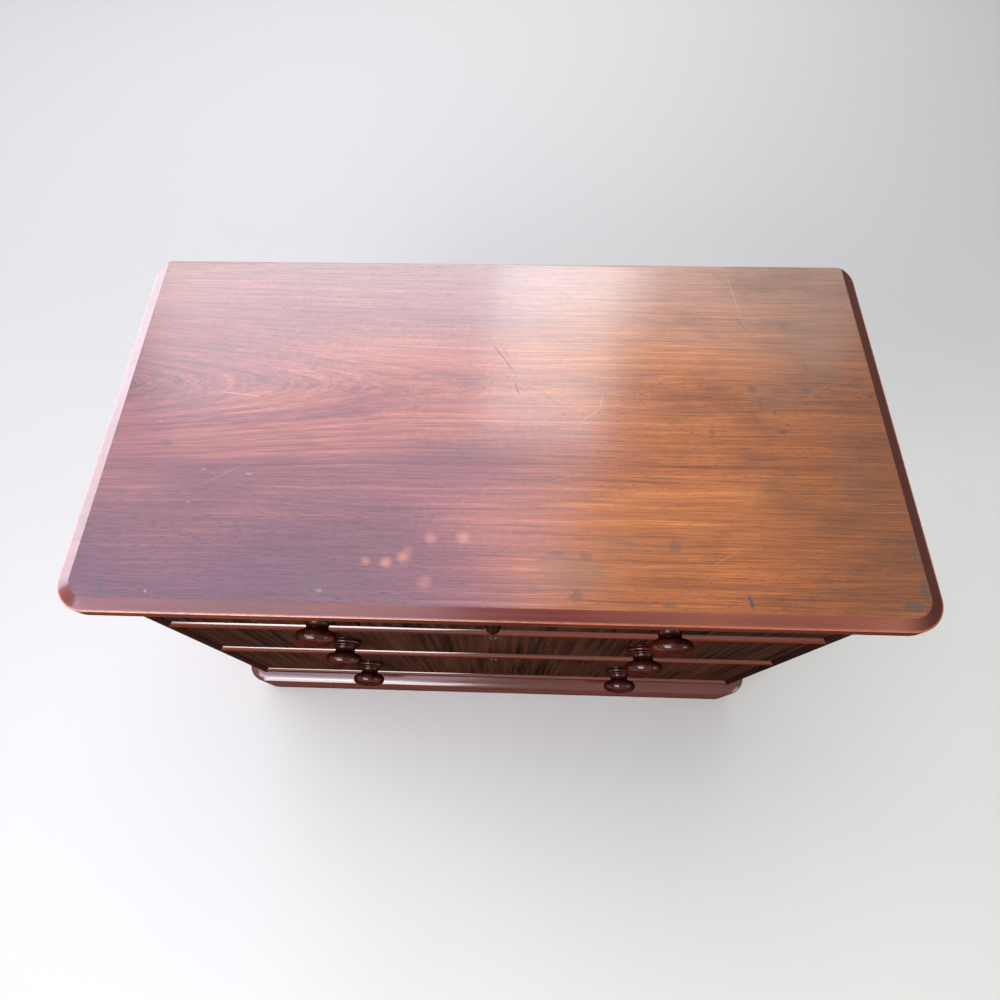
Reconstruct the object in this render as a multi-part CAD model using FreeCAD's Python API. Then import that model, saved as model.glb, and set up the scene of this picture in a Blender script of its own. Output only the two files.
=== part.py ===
import FreeCAD, Part
import math
import os
from collections import namedtuple
from FreeCAD import Vector

# A chest of two short drawers over two long ones. Its case has half-round facings on the
# front edges, a bevelled top and a plinth that stands out all round.
# Sizes are in millimetres. X runs along the front, -Y faces the user and +Z is up.
# The origin is on the floor, in the middle of the box that holds the whole chest.

# Top board
top_width = 920.0
top_depth = 474.0
top_thickness = 21.0
top_bevel_width = 14.5
top_bevel_drop = 4.7
top_front_corner_radius = 36.0
top_rear_corner_radius = 22.0

# How far the top stands out past the case; the front one is measured to the facings' nose
side_overhang = 20.0
front_overhang = 25.0
back_overhang = 6.0

# Heights of the drawer openings, and of the plinth below and the frieze above them
upper_opening_height = 130.0
middle_opening_height = 156.0
bottom_opening_height = 200.0
plinth_height = 88.0
frieze_height = 18.0

# Case boards and rails
side_thickness = 18.0
side_floor_clearance = 10.0
rail_thickness = 18.0
rail_depth = 60.0
muntin_width = 20.0
runner_width = 30.0
centre_runner_width = 70.0
guide_height = 24.0
housing_depth = 6.0
back_board_thickness = 9.0
back_board_count = 3
back_board_gap = 0.4
dust_board_thickness = 8.0

# Half-round facings on the front edges
facing_nose = 9.0
facing_flat = 2.0

# Plinth
plinth_projection = 25.0
plinth_corner_radius = 34.0
plinth_bevel_width = 16.0
plinth_bevel_drop = 5.0
plinth_back_thickness = 18.0
block_size = 28.0
block_end_clearance = 5.0

# Drawers
face_recess = 5.0
front_thickness = 22.0
front_side_gap = 1.0
front_top_gap = 1.2
front_bottom_gap = 0.8
runner_gap = 0.3
drawer_side_thickness = 10.0
drawer_side_headroom = 3.0
drawer_back_thickness = 10.0
drawer_back_drop = 8.0
drawer_rear_clearance = 12.0
bottom_thickness = 6.0
bottom_height = 10.0
groove_depth = 5.0
groove_clearance = 0.1
lap_thickness = 6.0
tail_pitch = 38.0
pin_root_width = 12.0
dovetail_slope = 1.0 / 7.0
stop_length = 40.0
stop_width = 13.0
stop_height = 5.0
stop_gap = 0.3
stop_end_distance = 85.0

# Turned knobs
knob_diameter = 51.0
knob_projection = 39.5
knob_edge_round = 8.0
knob_dome_rise = 3.0
knob_neck_diameter = 28.0
knob_cove_length = 2.2
knob_cove_hollow = 0.8
knob_neck_hollow = 0.5
knob_flare_length = 2.6
knob_flare_hollow = 0.8
rose_foot_diameter = 40.0
rose_foot_thickness = 2.2
rose_ring_diameter = 44.0
rose_ring_thickness = 5.3
rose_bead_diameter = 36.5
rose_bead_thickness = 2.8
spigot_diameter = 19.0
spigot_clearance = 0.1
spigot_end_gap = 1.0
knob_spacing = 421.0
long_drawer_knob_rise = 6.0

# Locks of the long drawers
lock_width = 56.0
lock_height = 38.0
lock_thickness = 11.0
selvedge_width = 66.0
selvedge_thickness = 2.0
bolt_width = 22.0
bolt_thickness = 4.6
bolt_height = 20.0
bolt_travel = 7.0
bolt_clearance = 0.2
bolt_seat_gap = 0.3
bolt_inset = 7.0
mortise_clearance = 1.0
keyhole_drop = 27.0
keyhole_radius = 3.2
keyhole_slot_width = 3.4
keyhole_slot_length = 11.0
keyhole_depth_in_lock = 3.0
key_pin_radius = 1.3
escutcheon_border = 2.4
escutcheon_depth = 2.5
escutcheon_pride = 0.3

# Screws that hold the top
screw_head_radius = 4.4
screw_head_height = 3.0
screw_shank_radius = 2.2
screw_reach_into_top = 13.0
screw_clearance = 0.1
screw_count_per_rail = 4
screw_end_distance = 95.0
screw_setback = 34.0

smallest_radius = 0.5

# Planes that run across the chest
case_half = top_width / 2 - side_overhang
opening_half = case_half - side_thickness
plinth_half = case_half + plinth_projection
muntin_half = muntin_width / 2

# Planes from back to front
front_reach = max(front_overhang, knob_projection - face_recess, plinth_projection - facing_nose)
box_depth = front_reach + top_depth - front_overhang
y_nose = front_reach - box_depth / 2
y_top_front = y_nose - front_overhang
y_top_back = y_top_front + top_depth
y_face = y_nose + face_recess
y_plinth_front = y_nose + facing_nose - plinth_projection
y_rail = y_nose + facing_nose + facing_flat
y_rail_back = y_rail + rail_depth
y_case_back = y_top_back - back_overhang
y_back_board = y_case_back - back_board_thickness
y_front_back = y_face + front_thickness
y_drawer_back = y_back_board - drawer_rear_clearance

# Levels from the floor up
z_bottom_rail = plinth_height
z_bottom_opening = z_bottom_rail + rail_thickness
z_middle_rail = z_bottom_opening + bottom_opening_height
z_middle_opening = z_middle_rail + rail_thickness
z_upper_rail = z_middle_opening + middle_opening_height
z_upper_opening = z_upper_rail + rail_thickness
z_top_rail = z_upper_opening + upper_opening_height
z_frieze = z_top_rail + rail_thickness
z_case_top = z_frieze + frieze_height
z_top = z_case_top + top_thickness

# One drawer: its opening, its knobs' places and their rise over its middle, and its lock
Drawer = namedtuple("Drawer", "name x_low x_high z_floor height knob_places knob_rise locked")

knob_pair = (-knob_spacing / 2, knob_spacing / 2)
drawers = [
    Drawer("drawer_short_left", -opening_half, -muntin_half, z_upper_opening,
           upper_opening_height, knob_pair[:1], 0.0, False),
    Drawer("drawer_short_right", muntin_half, opening_half, z_upper_opening,
           upper_opening_height, knob_pair[1:], 0.0, False),
    Drawer("drawer_middle", -opening_half, opening_half, z_middle_opening,
           middle_opening_height, knob_pair, long_drawer_knob_rise, True),
    Drawer("drawer_bottom", -opening_half, opening_half, z_bottom_opening,
           bottom_opening_height, knob_pair, long_drawer_knob_rise, True),
]
runner_levels = [z_upper_rail, z_middle_rail, z_bottom_rail]


def box(x_low, x_high, y_low, y_high, z_low, z_high):
    """A block between two corners."""
    corner = Vector(x_low, y_low, z_low)
    return Part.makeBox(x_high - x_low, y_high - y_low, z_high - z_low, corner)


def prism(points, travel):
    """A closed outline of points, pushed along the travel vector."""
    outline = Part.makePolygon(points + [points[0]])
    return Part.Face(outline).extrude(travel)


def joined(shapes):
    """One solid out of shapes that touch."""
    return shapes[0].fuse(shapes[1:]).removeSplitter()


def mirrored(shape):
    """The same shape on the other side of the chest."""
    return shape.mirror(Vector(0, 0, 0), Vector(1, 0, 0))


def cut_all(shape, tools):
    """The shape without the space that the tools fill."""
    return shape.cut(tools) if tools else shape


def rounded_plan(half_width, y_front, y_back, front_radius, rear_radius, z):
    """A rectangle seen from above, with rounded corners, as a closed wire at height z."""
    corners = [
        (half_width - front_radius, y_front + front_radius, front_radius, -90.0),
        (half_width - rear_radius, y_back - rear_radius, rear_radius, 0.0),
        (rear_radius - half_width, y_back - rear_radius, rear_radius, 90.0),
        (front_radius - half_width, y_front + front_radius, front_radius, 180.0),
    ]
    arcs = []
    for x, y, radius, start in corners:
        turns = [math.radians(start + step) for step in (0.0, 45.0, 90.0)]
        arcs.append([Vector(x + radius * math.cos(turn), y + radius * math.sin(turn), z)
                     for turn in turns])
    edges = []
    for place, points in enumerate(arcs):
        edges.append(Part.Arc(*points).toShape())
        following = arcs[(place + 1) % len(arcs)]
        edges.append(Part.LineSegment(points[2], following[0]).toShape())
    return Part.Wire(edges)


def bevelled_slab(half_width, y_front, y_back, z_low, z_high, corner_radii, bevel_width, bevel_drop):
    """A slab whose upper edge is bevelled at the front and both ends, not at the back."""
    front_radius, rear_radius = corner_radii
    z_bevel = z_high - bevel_drop
    foot = rounded_plan(half_width, y_front, y_back, front_radius, rear_radius, z_low)
    lower = Part.Face(foot).extrude(Vector(0, 0, z_bevel - z_low))
    outer = rounded_plan(half_width, y_front, y_back, front_radius, rear_radius, z_bevel)
    inner_front = max(front_radius - bevel_width, smallest_radius)
    inner_rear = max(rear_radius - bevel_width, smallest_radius)
    inner = rounded_plan(half_width - bevel_width, y_front + bevel_width, y_back,
                         inner_front, inner_rear, z_high)
    upper = Part.makeLoft([outer, inner], True, True)
    return joined([lower, upper])


def top_board():
    """The solid top, with a shallow bevel round its front and ends."""
    radii = (top_front_corner_radius, top_rear_corner_radius)
    slab = bevelled_slab(top_width / 2, y_top_front, y_top_back, z_case_top, z_top,
                         radii, top_bevel_width, top_bevel_drop)
    holes = [screw_shape(x, y, screw_clearance) for x, y in screw_places()]
    return cut_all(slab, holes)


def facing_section(half_width):
    """The half-round section of a facing, lying along Z, with its nose to the front."""
    base_left = Vector(-half_width, y_rail, 0)
    base_right = Vector(half_width, y_rail, 0)
    left = Vector(-half_width, y_nose + facing_nose, 0)
    right = Vector(half_width, y_nose + facing_nose, 0)
    nose = Vector(0, y_nose, 0)
    edges = [
        Part.LineSegment(base_right, base_left).toShape(),
        Part.LineSegment(base_left, left).toShape(),
        Part.Arc(left, nose, right).toShape(),
        Part.LineSegment(right, base_right).toShape(),
    ]
    return Part.Face(Part.Wire(edges))


def upright_facing(x_centre, half_width, z_low, z_high):
    """A half-round facing that stands on end."""
    section = facing_section(half_width)
    section.translate(Vector(x_centre, 0, z_low))
    return section.extrude(Vector(0, 0, z_high - z_low))


def level_facing(half_length, z_centre):
    """A half-round facing that lies along a rail."""
    section = facing_section(rail_thickness / 2)
    section.rotate(Vector(0, 0, 0), Vector(0, 1, 0), 90)
    section.translate(Vector(-half_length, 0, z_centre))
    return section.extrude(Vector(2 * half_length, 0, 0))


def side_mitre(sign, z_centre):
    """The pointed end of a rail's facing, where it is let into a stile's facing."""
    x_mouth = sign * opening_half
    x_tip = sign * (case_half - side_thickness / 2)
    half = rail_thickness / 2
    points = [
        Vector(x_mouth, y_nose - facing_nose, z_centre - half),
        Vector(x_mouth, y_nose - facing_nose, z_centre + half),
        Vector(x_tip, y_nose - facing_nose, z_centre),
    ]
    return prism(points, Vector(0, y_rail - y_nose + facing_nose, 0))


def muntin_mitre(z_mouth, z_tip):
    """The pointed end of the muntin, where it is let into a rail's facing."""
    points = [
        Vector(-muntin_half, y_nose - facing_nose, z_mouth),
        Vector(muntin_half, y_nose - facing_nose, z_mouth),
        Vector(0, y_nose - facing_nose, z_tip),
    ]
    return prism(points, Vector(0, y_rail - y_nose + facing_nose, 0))


rail_centres = {
    "top": z_top_rail + rail_thickness / 2,
    "upper": z_upper_rail + rail_thickness / 2,
    "middle": z_middle_rail + rail_thickness / 2,
    "bottom": z_bottom_rail + rail_thickness / 2,
}
muntin_tips = [
    muntin_mitre(z_top_rail, rail_centres["top"]),
    muntin_mitre(z_upper_opening, rail_centres["upper"]),
]


def rail_facing(name):
    """A rail's facing, pointed at both ends, with a notch where the muntin meets it."""
    z_centre = rail_centres[name]
    whole = level_facing(case_half, z_centre)
    middle = box(-opening_half, opening_half, y_nose - facing_nose, y_rail,
                 z_centre - rail_thickness / 2, z_centre + rail_thickness / 2)
    keep = joined([middle, side_mitre(-1, z_centre), side_mitre(1, z_centre)])
    facing = whole.common(keep)
    return cut_all(facing, muntin_tips) if name in ("top", "upper") else facing


def stile_facing():
    """The facing of the right-hand side board, notched for each rail's facing."""
    half = side_thickness / 2
    upright = upright_facing(case_half - half, half, z_bottom_rail, z_case_top)
    notches = [side_mitre(1, z) for z in rail_centres.values()]
    return cut_all(upright, notches)


def muntin():
    """The upright between the short drawers, with a half-round front and pointed ends."""
    body = box(-muntin_half, muntin_half, y_rail, y_rail_back, z_upper_opening, z_top_rail)
    front = upright_facing(0, muntin_half, rail_centres["upper"], rail_centres["top"])
    between = box(-muntin_half, muntin_half, y_nose - facing_nose, y_rail,
                  z_upper_opening, z_top_rail)
    keep = joined([between] + muntin_tips)
    return joined([body, front.common(keep)])


def bolt_mortise(drawer):
    """The pocket above a drawer's lock that its bolt rises into."""
    z_ceiling = drawer.z_floor + drawer.height
    y_low, y_high = bolt_depth_range()
    return box(-bolt_width / 2 - mortise_clearance, bolt_width / 2 + mortise_clearance,
               y_low - mortise_clearance, y_high + mortise_clearance,
               z_ceiling, z_ceiling + bolt_travel)


def rail(z_low):
    """A drawer rail, housed into both side boards."""
    reach = opening_half + housing_depth
    board = box(-reach, reach, y_rail, y_rail_back, z_low, z_low + rail_thickness)
    mortises = [bolt_mortise(drawer) for drawer in drawers if drawer.locked]
    return cut_all(board, mortises + dust_boards())


def top_rail():
    """The rail under the top, with the frieze standing forward above its facing."""
    reach = opening_half + housing_depth
    board = box(-reach, reach, y_rail, y_rail_back, z_top_rail, z_case_top)
    frieze = box(-opening_half, opening_half, y_face, y_rail, z_frieze, z_case_top)
    places = [place for place in screw_places() if place[1] < 0]
    holes = [screw_shape(x, y, screw_clearance) for x, y in places]
    for x, y in places:
        floor = Vector(x, y, z_top_rail)
        radius = screw_head_radius + screw_clearance
        holes.append(Part.makeCylinder(radius, z_frieze - z_top_rail, floor))
    return cut_all(joined([board, frieze]), holes)


def back_rail():
    """The rail at the back under the top."""
    reach = opening_half + housing_depth
    board = box(-reach, reach, y_back_board - rail_depth, y_back_board, z_frieze, z_case_top)
    places = [place for place in screw_places() if place[1] > 0]
    return cut_all(board, [screw_shape(x, y, screw_clearance) for x, y in places])


def side_strip(z_low):
    """A strip along the right-hand side board, which carries or holds down a drawer."""
    return box(opening_half - runner_width, opening_half + housing_depth,
               y_rail_back, y_back_board, z_low, z_low + rail_thickness)


def runners():
    """The six drawer runners, housed in the side boards."""
    strips = []
    for z_low in runner_levels:
        strip = cut_all(side_strip(z_low), dust_boards())
        strips += [strip, mirrored(strip)]
    return strips


def kickers():
    """The strips above the short drawers that keep them from tipping when they are open."""
    strip = side_strip(z_top_rail)
    middle = box(-centre_runner_width / 2, centre_runner_width / 2,
                 y_rail_back, y_back_board, z_top_rail, z_frieze)
    return [strip, mirrored(strip), middle]


def centre_runner():
    """The runner between the short drawers, with a rib that guides them."""
    half = centre_runner_width / 2
    base = box(-half, half, y_rail_back, y_back_board, z_upper_rail, z_upper_opening)
    rib = box(-muntin_half, muntin_half, y_rail_back, y_back_board,
              z_upper_opening, z_upper_opening + guide_height)
    return cut_all(joined([base, rib]), dust_boards())


def dust_board(x_low, x_high, z_rail):
    """A thin board in the grooves of a rail and of the runners at its ends."""
    z_low = z_rail + (rail_thickness - dust_board_thickness) / 2
    return box(x_low, x_high, y_rail_back - housing_depth, y_back_board,
               z_low, z_low + dust_board_thickness)


def dust_boards():
    """The boards that close the case under each drawer."""
    outer = opening_half - runner_width + housing_depth
    inner = centre_runner_width / 2 - housing_depth
    half = dust_board(inner, outer, z_upper_rail)
    return [
        half,
        mirrored(half),
        dust_board(-outer, outer, z_middle_rail),
        dust_board(-outer, outer, z_bottom_rail),
    ]


def side_board():
    """The right-hand side of the case, with housings for rails and runners."""
    board = box(opening_half, case_half, y_rail, y_case_back, side_floor_clearance, z_case_top)
    tools = [box(opening_half, opening_half + side_thickness / 2, y_back_board,
                 y_case_back, plinth_height, z_case_top)]
    for z_low in runner_levels:
        tools.append(box(opening_half, opening_half + housing_depth, y_rail, y_back_board,
                         z_low, z_low + rail_thickness))
    tools.append(box(opening_half, opening_half + housing_depth, y_rail, y_rail_back,
                     z_top_rail, z_case_top))
    tools.append(box(opening_half, opening_half + housing_depth, y_rail_back, y_back_board,
                     z_top_rail, z_frieze))
    tools.append(box(opening_half, opening_half + housing_depth, y_back_board - rail_depth,
                     y_back_board, z_frieze, z_case_top))
    return cut_all(board, tools)


def back_boards():
    """Level boards that close the back, let into the rebates of the sides."""
    half = opening_half + side_thickness / 2
    height = (z_case_top - plinth_height) / back_board_count
    boards = []
    for number in range(back_board_count):
        z_low = plinth_height + number * height
        gap = back_board_gap if number < back_board_count - 1 else 0.0
        boards.append(box(-half, half, y_back_board, y_case_back, z_low, z_low + height - gap))
    return boards


def plinth_ring():
    """The front and both ends of the plinth in one piece, before the mitres are cut."""
    radii = (plinth_corner_radius, smallest_radius)
    slab = bevelled_slab(plinth_half, y_plinth_front, y_case_back + plinth_corner_radius,
                         0.0, plinth_height, radii, plinth_bevel_width, plinth_bevel_drop)
    hollow = box(-case_half, case_half, y_rail, y_case_back + 2 * plinth_corner_radius,
                 0.0, plinth_height)
    behind = box(-plinth_half, plinth_half, y_case_back, y_case_back + 2 * plinth_corner_radius,
                 0.0, plinth_height)
    return slab.cut([hollow, behind])


def plinth_boards():
    """The plinth's front and its right-hand end, mitred at the corner."""
    ring = plinth_ring()
    depth = y_rail - y_plinth_front
    x_far = case_half + 2 * plinth_projection
    y_far = y_rail - 2 * depth
    points = [
        Vector(-case_half, y_rail, 0),
        Vector(case_half, y_rail, 0),
        Vector(x_far, y_far, 0),
        Vector(-x_far, y_far, 0),
    ]
    wedge = prism(points, Vector(0, 0, plinth_height))
    right_half = box(0, plinth_half, y_plinth_front, y_case_back, 0.0, plinth_height)
    return ring.common(wedge), ring.cut(wedge).common(right_half)


def plinth_back():
    """The board that carries the case at the back."""
    return box(-opening_half, opening_half, y_case_back - plinth_back_thickness, y_case_back,
               0.0, plinth_height)


def plinth_blocks():
    """Glue blocks in the four inner corners of the plinth."""
    x_low = opening_half - block_size
    y_rear = y_case_back - plinth_back_thickness
    z_low = block_end_clearance
    z_high = plinth_height - block_end_clearance
    front = box(x_low, opening_half, y_rail, y_rail + block_size, z_low, z_high)
    rear = box(x_low, opening_half, y_rear - block_size, y_rear, z_low, z_high)
    return [front, rear, mirrored(front), mirrored(rear)]


def screw_places():
    """Where the screws stand that hold the top, along the front and back rails."""
    reach = opening_half - screw_end_distance
    pitch = 2 * reach / (screw_count_per_rail - 1)
    rows = (y_rail + screw_setback, y_back_board - screw_setback)
    return [(number * pitch - reach, y) for y in rows for number in range(screw_count_per_rail)]


def screw_shape(x, y, clearance):
    """A countersunk screw that points up into the top, or the hole for it."""
    base = Vector(x, y, z_frieze)
    head = Part.makeCone(screw_head_radius + clearance, screw_shank_radius + clearance,
                         screw_head_height, base)
    length = z_case_top - z_frieze + screw_reach_into_top + clearance
    shank = Part.makeCylinder(screw_shank_radius + clearance, length, base)
    return joined([head, shank])


def drawer_stops():
    """Two small blocks on the rail behind each drawer's front."""
    blocks = []
    for drawer in drawers:
        y_low = y_front_back + stop_gap
        for x in (drawer.x_low + stop_end_distance, drawer.x_high - stop_end_distance):
            blocks.append(box(x - stop_length / 2, x + stop_length / 2, y_low,
                              y_low + stop_width, drawer.z_floor, drawer.z_floor + stop_height))
    return blocks


def tails(y_root, y_end, z_low, z_high, x_low, x_high):
    """Dovetails that widen from their root to the end of a drawer side."""
    count = max(2, round((z_high - z_low) / tail_pitch))
    pitch = (z_high - z_low) / count
    root_half = (pitch - pin_root_width) / 2
    end_half = root_half + abs(y_end - y_root) * dovetail_slope
    shapes = []
    for number in range(count):
        z = z_low + (number + 0.5) * pitch
        points = [
            Vector(x_low, y_root, z - root_half),
            Vector(x_low, y_root, z + root_half),
            Vector(x_low, y_end, z + end_half),
            Vector(x_low, y_end, z - end_half),
        ]
        shapes.append(prism(points, Vector(x_high - x_low, 0, 0)))
    return shapes


DrawerPlan = namedtuple("DrawerPlan", "x_low x_high x_in_low x_in_high z_low z_side_top "
                                      "z_front_low z_front_top z_panel z_panel_top z_back_top")


def plan_of(drawer):
    """The planes of a drawer, all taken from its opening."""
    x_low = drawer.x_low + front_side_gap
    x_high = drawer.x_high - front_side_gap
    z_low = drawer.z_floor + runner_gap
    z_side_top = drawer.z_floor + drawer.height - drawer_side_headroom
    z_panel = z_low + bottom_height
    return DrawerPlan(
        x_low=x_low,
        x_high=x_high,
        x_in_low=x_low + drawer_side_thickness,
        x_in_high=x_high - drawer_side_thickness,
        z_low=z_low,
        z_side_top=z_side_top,
        z_front_low=drawer.z_floor + front_bottom_gap,
        z_front_top=drawer.z_floor + drawer.height - front_top_gap,
        z_panel=z_panel,
        z_panel_top=z_panel + bottom_thickness,
        z_back_top=z_side_top - drawer_back_drop,
    )


def front_tails(plan):
    """The tails of both drawer sides that are let into the front."""
    y_end = y_face + lap_thickness
    left = tails(y_front_back, y_end, plan.z_low, plan.z_side_top, plan.x_low, plan.x_in_low)
    right = tails(y_front_back, y_end, plan.z_low, plan.z_side_top, plan.x_in_high, plan.x_high)
    return left, right


def back_pins(plan):
    """The ends of the drawer's back that fill the gaps between the sides' rear tails."""
    y_root = y_drawer_back - drawer_back_thickness
    ends = []
    for x_low, x_high in ((plan.x_low, plan.x_in_low), (plan.x_in_high, plan.x_high)):
        block = box(x_low, x_high, y_root, y_drawer_back, plan.z_panel_top, plan.z_back_top)
        rear = tails(y_root, y_drawer_back, plan.z_panel_top, plan.z_back_top, x_low, x_high)
        ends.append(block.cut(rear))
    return ends


def bottom_panel(plan, clearance):
    """The drawer's bottom, or with a clearance the groove that takes it."""
    return box(plan.x_in_low - groove_depth - clearance, plan.x_in_high + groove_depth + clearance,
               y_front_back - groove_depth - clearance, y_drawer_back + clearance,
               plan.z_panel - clearance, plan.z_panel_top)


def keyhole(z_centre, y_low, y_high, border):
    """A round hole over a slot, pushed from front to back; a border makes it larger."""
    round_part = Part.makeCylinder(keyhole_radius + border, y_high - y_low,
                                   Vector(0, y_low, z_centre), Vector(0, 1, 0))
    half = keyhole_slot_width / 2 + border
    slot = box(-half, half, y_low, y_high, z_centre - keyhole_slot_length - border, z_centre)
    return joined([round_part, slot])


def bolt_depth_range():
    """The front and back faces of a lock's bolt."""
    y_centre = y_front_back - lock_thickness + bolt_inset
    return y_centre - bolt_thickness / 2, y_centre + bolt_thickness / 2


def lock_body(plan):
    """The outside of a lock: its case and the plate on the drawer front's upper edge."""
    case = box(-lock_width / 2, lock_width / 2, y_front_back - lock_thickness, y_front_back,
               plan.z_front_top - lock_height, plan.z_front_top)
    plate = box(-selvedge_width / 2, selvedge_width / 2, y_front_back - lock_thickness,
                y_front_back, plan.z_front_top - selvedge_thickness, plan.z_front_top)
    return joined([case, plate])


def lock_case(plan):
    """The lock with its bolt's channel, its keyhole and the pin that the key turns on."""
    y_low, y_high = bolt_depth_range()
    half = bolt_width / 2 + bolt_clearance
    channel = box(-half, half, y_low - bolt_clearance, y_high + bolt_clearance,
                  plan.z_front_top - bolt_height - bolt_seat_gap, plan.z_front_top)
    y_plate = y_front_back - lock_thickness
    z_key = plan.z_front_top - keyhole_drop
    hole = keyhole(z_key, y_plate, y_plate + keyhole_depth_in_lock, 0.0)
    pin = Part.makeCylinder(key_pin_radius, keyhole_depth_in_lock, Vector(0, y_plate, z_key),
                            Vector(0, 1, 0))
    return joined([lock_body(plan).cut([channel, hole]), pin])


def lock_bolt(plan):
    """The bolt, drawn back so that its end is level with the drawer front's upper edge."""
    y_low, y_high = bolt_depth_range()
    return box(-bolt_width / 2, bolt_width / 2, y_low, y_high,
               plan.z_front_top - bolt_height, plan.z_front_top)


def escutcheon(plan):
    """The thin metal lining that is let in round the keyhole."""
    z_key = plan.z_front_top - keyhole_drop
    y_low = y_face - escutcheon_pride
    y_high = y_face + escutcheon_depth
    rim = keyhole(z_key, y_low, y_high, escutcheon_border)
    return rim.cut(keyhole(z_key, y_low, y_high, 0.0))


def knob_level(drawer):
    """The height of a drawer's knobs."""
    return drawer.z_floor + drawer.height / 2 + drawer.knob_rise


def drawer_front(drawer, plan):
    """The front, with sockets for the sides and holes for the knobs and the lock."""
    board = box(plan.x_low, plan.x_high, y_face, y_front_back, plan.z_front_low, plan.z_front_top)
    left, right = front_tails(plan)
    groove = bottom_panel(plan, groove_clearance)
    tools = left + right + [groove]
    z_knob = knob_level(drawer)
    for x in drawer.knob_places:
        tools.append(Part.makeCylinder(spigot_diameter / 2 + spigot_clearance, front_thickness,
                                       Vector(x, y_face, z_knob), Vector(0, 1, 0)))
    if drawer.locked:
        z_key = plan.z_front_top - keyhole_drop
        tools.append(lock_body(plan))
        tools.append(keyhole(z_key, y_face, y_front_back - lock_thickness, 0.0))
        tools.append(keyhole(z_key, y_face, y_face + escutcheon_depth, escutcheon_border))
    return cut_all(board, tools)


def drawer_side(plan, left):
    """A side of a drawer, dovetailed at both ends and grooved for the bottom."""
    x_low, x_high = (plan.x_low, plan.x_in_low) if left else (plan.x_in_high, plan.x_high)
    board = box(x_low, x_high, y_front_back, y_drawer_back, plan.z_low, plan.z_side_top)
    groups = front_tails(plan)
    whole = joined([board] + (groups[0] if left else groups[1]))
    pins = back_pins(plan)
    groove = bottom_panel(plan, groove_clearance)
    return whole.cut([pins[0] if left else pins[1], groove])


def drawer_back(plan):
    """The back of a drawer, which stands on the bottom and is pinned to the sides."""
    board = box(plan.x_in_low, plan.x_in_high, y_drawer_back - drawer_back_thickness,
                y_drawer_back, plan.z_panel_top, plan.z_back_top)
    return joined([board] + back_pins(plan))


def bowed(start, end, bulge):
    """An arc between two points of a profile that stands off its chord by the bulge."""
    chord = end - start
    outward = Vector(-chord.y, chord.x, 0).normalize()
    return Part.Arc(start, (start + end) / 2 + outward * bulge, end).toShape()


def domed(start, distance):
    """The face of a knob: a round arc from a point of its rim to its axis."""
    rise = distance - abs(start.y)
    radius = (start.x ** 2 + rise ** 2) / (2 * rise)
    half_angle = math.asin(start.x / radius) / 2
    middle = Vector(radius * math.sin(half_angle),
                    radius - radius * math.cos(half_angle) - distance, 0)
    return Part.Arc(start, middle, Vector(0, -distance, 0)).toShape()


def profile_point(diameter, distance):
    """A point of the knob's profile, at a distance from the drawer's face."""
    return Vector(diameter / 2, -distance, 0)


def knob_head():
    """The head's profile: a round edge that runs smoothly into a shallow dome."""
    rise = knob_edge_round + knob_dome_rise
    reach = knob_diameter / 2 - knob_edge_round
    middle = knob_projection - rise
    dome = (reach ** 2 + rise ** 2 - knob_edge_round ** 2) / (2 * knob_dome_rise)
    turn = math.atan2(reach, dome - rise)
    back = profile_point(2 * reach, middle - knob_edge_round)
    rim = profile_point(knob_diameter, middle)
    meeting = profile_point(2 * dome * math.sin(turn),
                            knob_projection - dome * (1 - math.cos(turn)))
    edges = [Part.Arc(back, rim, meeting).toShape(), domed(meeting, knob_projection)]
    return back, edges


def knob(x, z):
    """A turned knob with a ringed rose, a waisted neck and a spigot through the front."""
    spigot_end = spigot_end_gap - front_thickness
    spigot_centre = profile_point(0, spigot_end)
    spigot_corner = profile_point(spigot_diameter, spigot_end)
    reached = profile_point(spigot_diameter, 0)
    edges = [
        Part.LineSegment(spigot_centre, spigot_corner).toShape(),
        Part.LineSegment(spigot_corner, reached).toShape(),
    ]
    distance = 0.0
    for diameter, thickness in ((rose_foot_diameter, rose_foot_thickness),
                                (rose_ring_diameter, rose_ring_thickness),
                                (rose_bead_diameter, rose_bead_thickness)):
        low = profile_point(diameter - thickness, distance)
        distance += thickness
        high = profile_point(diameter - thickness, distance)
        edges += [Part.LineSegment(reached, low).toShape(), bowed(low, high, thickness / 2)]
        reached = high
    head_back, head_edges = knob_head()
    neck_low = profile_point(knob_neck_diameter, distance + knob_cove_length)
    neck_top = profile_point(knob_neck_diameter, -head_back.y - knob_flare_length)
    edges += [
        bowed(reached, neck_low, -knob_cove_hollow),
        bowed(neck_low, neck_top, -knob_neck_hollow),
        bowed(neck_top, head_back, -knob_flare_hollow),
    ]
    edges += head_edges
    edges.append(Part.LineSegment(profile_point(0, knob_projection), spigot_centre).toShape())
    turned = Part.Face(Part.Wire(edges)).revolve(Vector(0, 0, 0), Vector(0, 1, 0), 360)
    turned.translate(Vector(x, y_face, z))
    return turned


def drawer_nodes(drawer):
    """Every piece of one drawer, by name."""
    plan = plan_of(drawer)
    pieces = {
        "front": drawer_front(drawer, plan),
        "side_left": drawer_side(plan, True),
        "side_right": drawer_side(plan, False),
        "back": drawer_back(plan),
        "bottom": bottom_panel(plan, 0.0),
    }
    z_knob = knob_level(drawer)
    names = ["knob"] if len(drawer.knob_places) == 1 else ["knob_left", "knob_right"]
    for name, x in zip(names, drawer.knob_places):
        pieces[name] = knob(x, z_knob)
    if drawer.locked:
        pieces["lock_case"] = lock_case(plan)
        pieces["lock_bolt"] = lock_bolt(plan)
        pieces["escutcheon"] = escutcheon(plan)
    return {drawer.name + "_" + name: shape for name, shape in pieces.items()}


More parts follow.
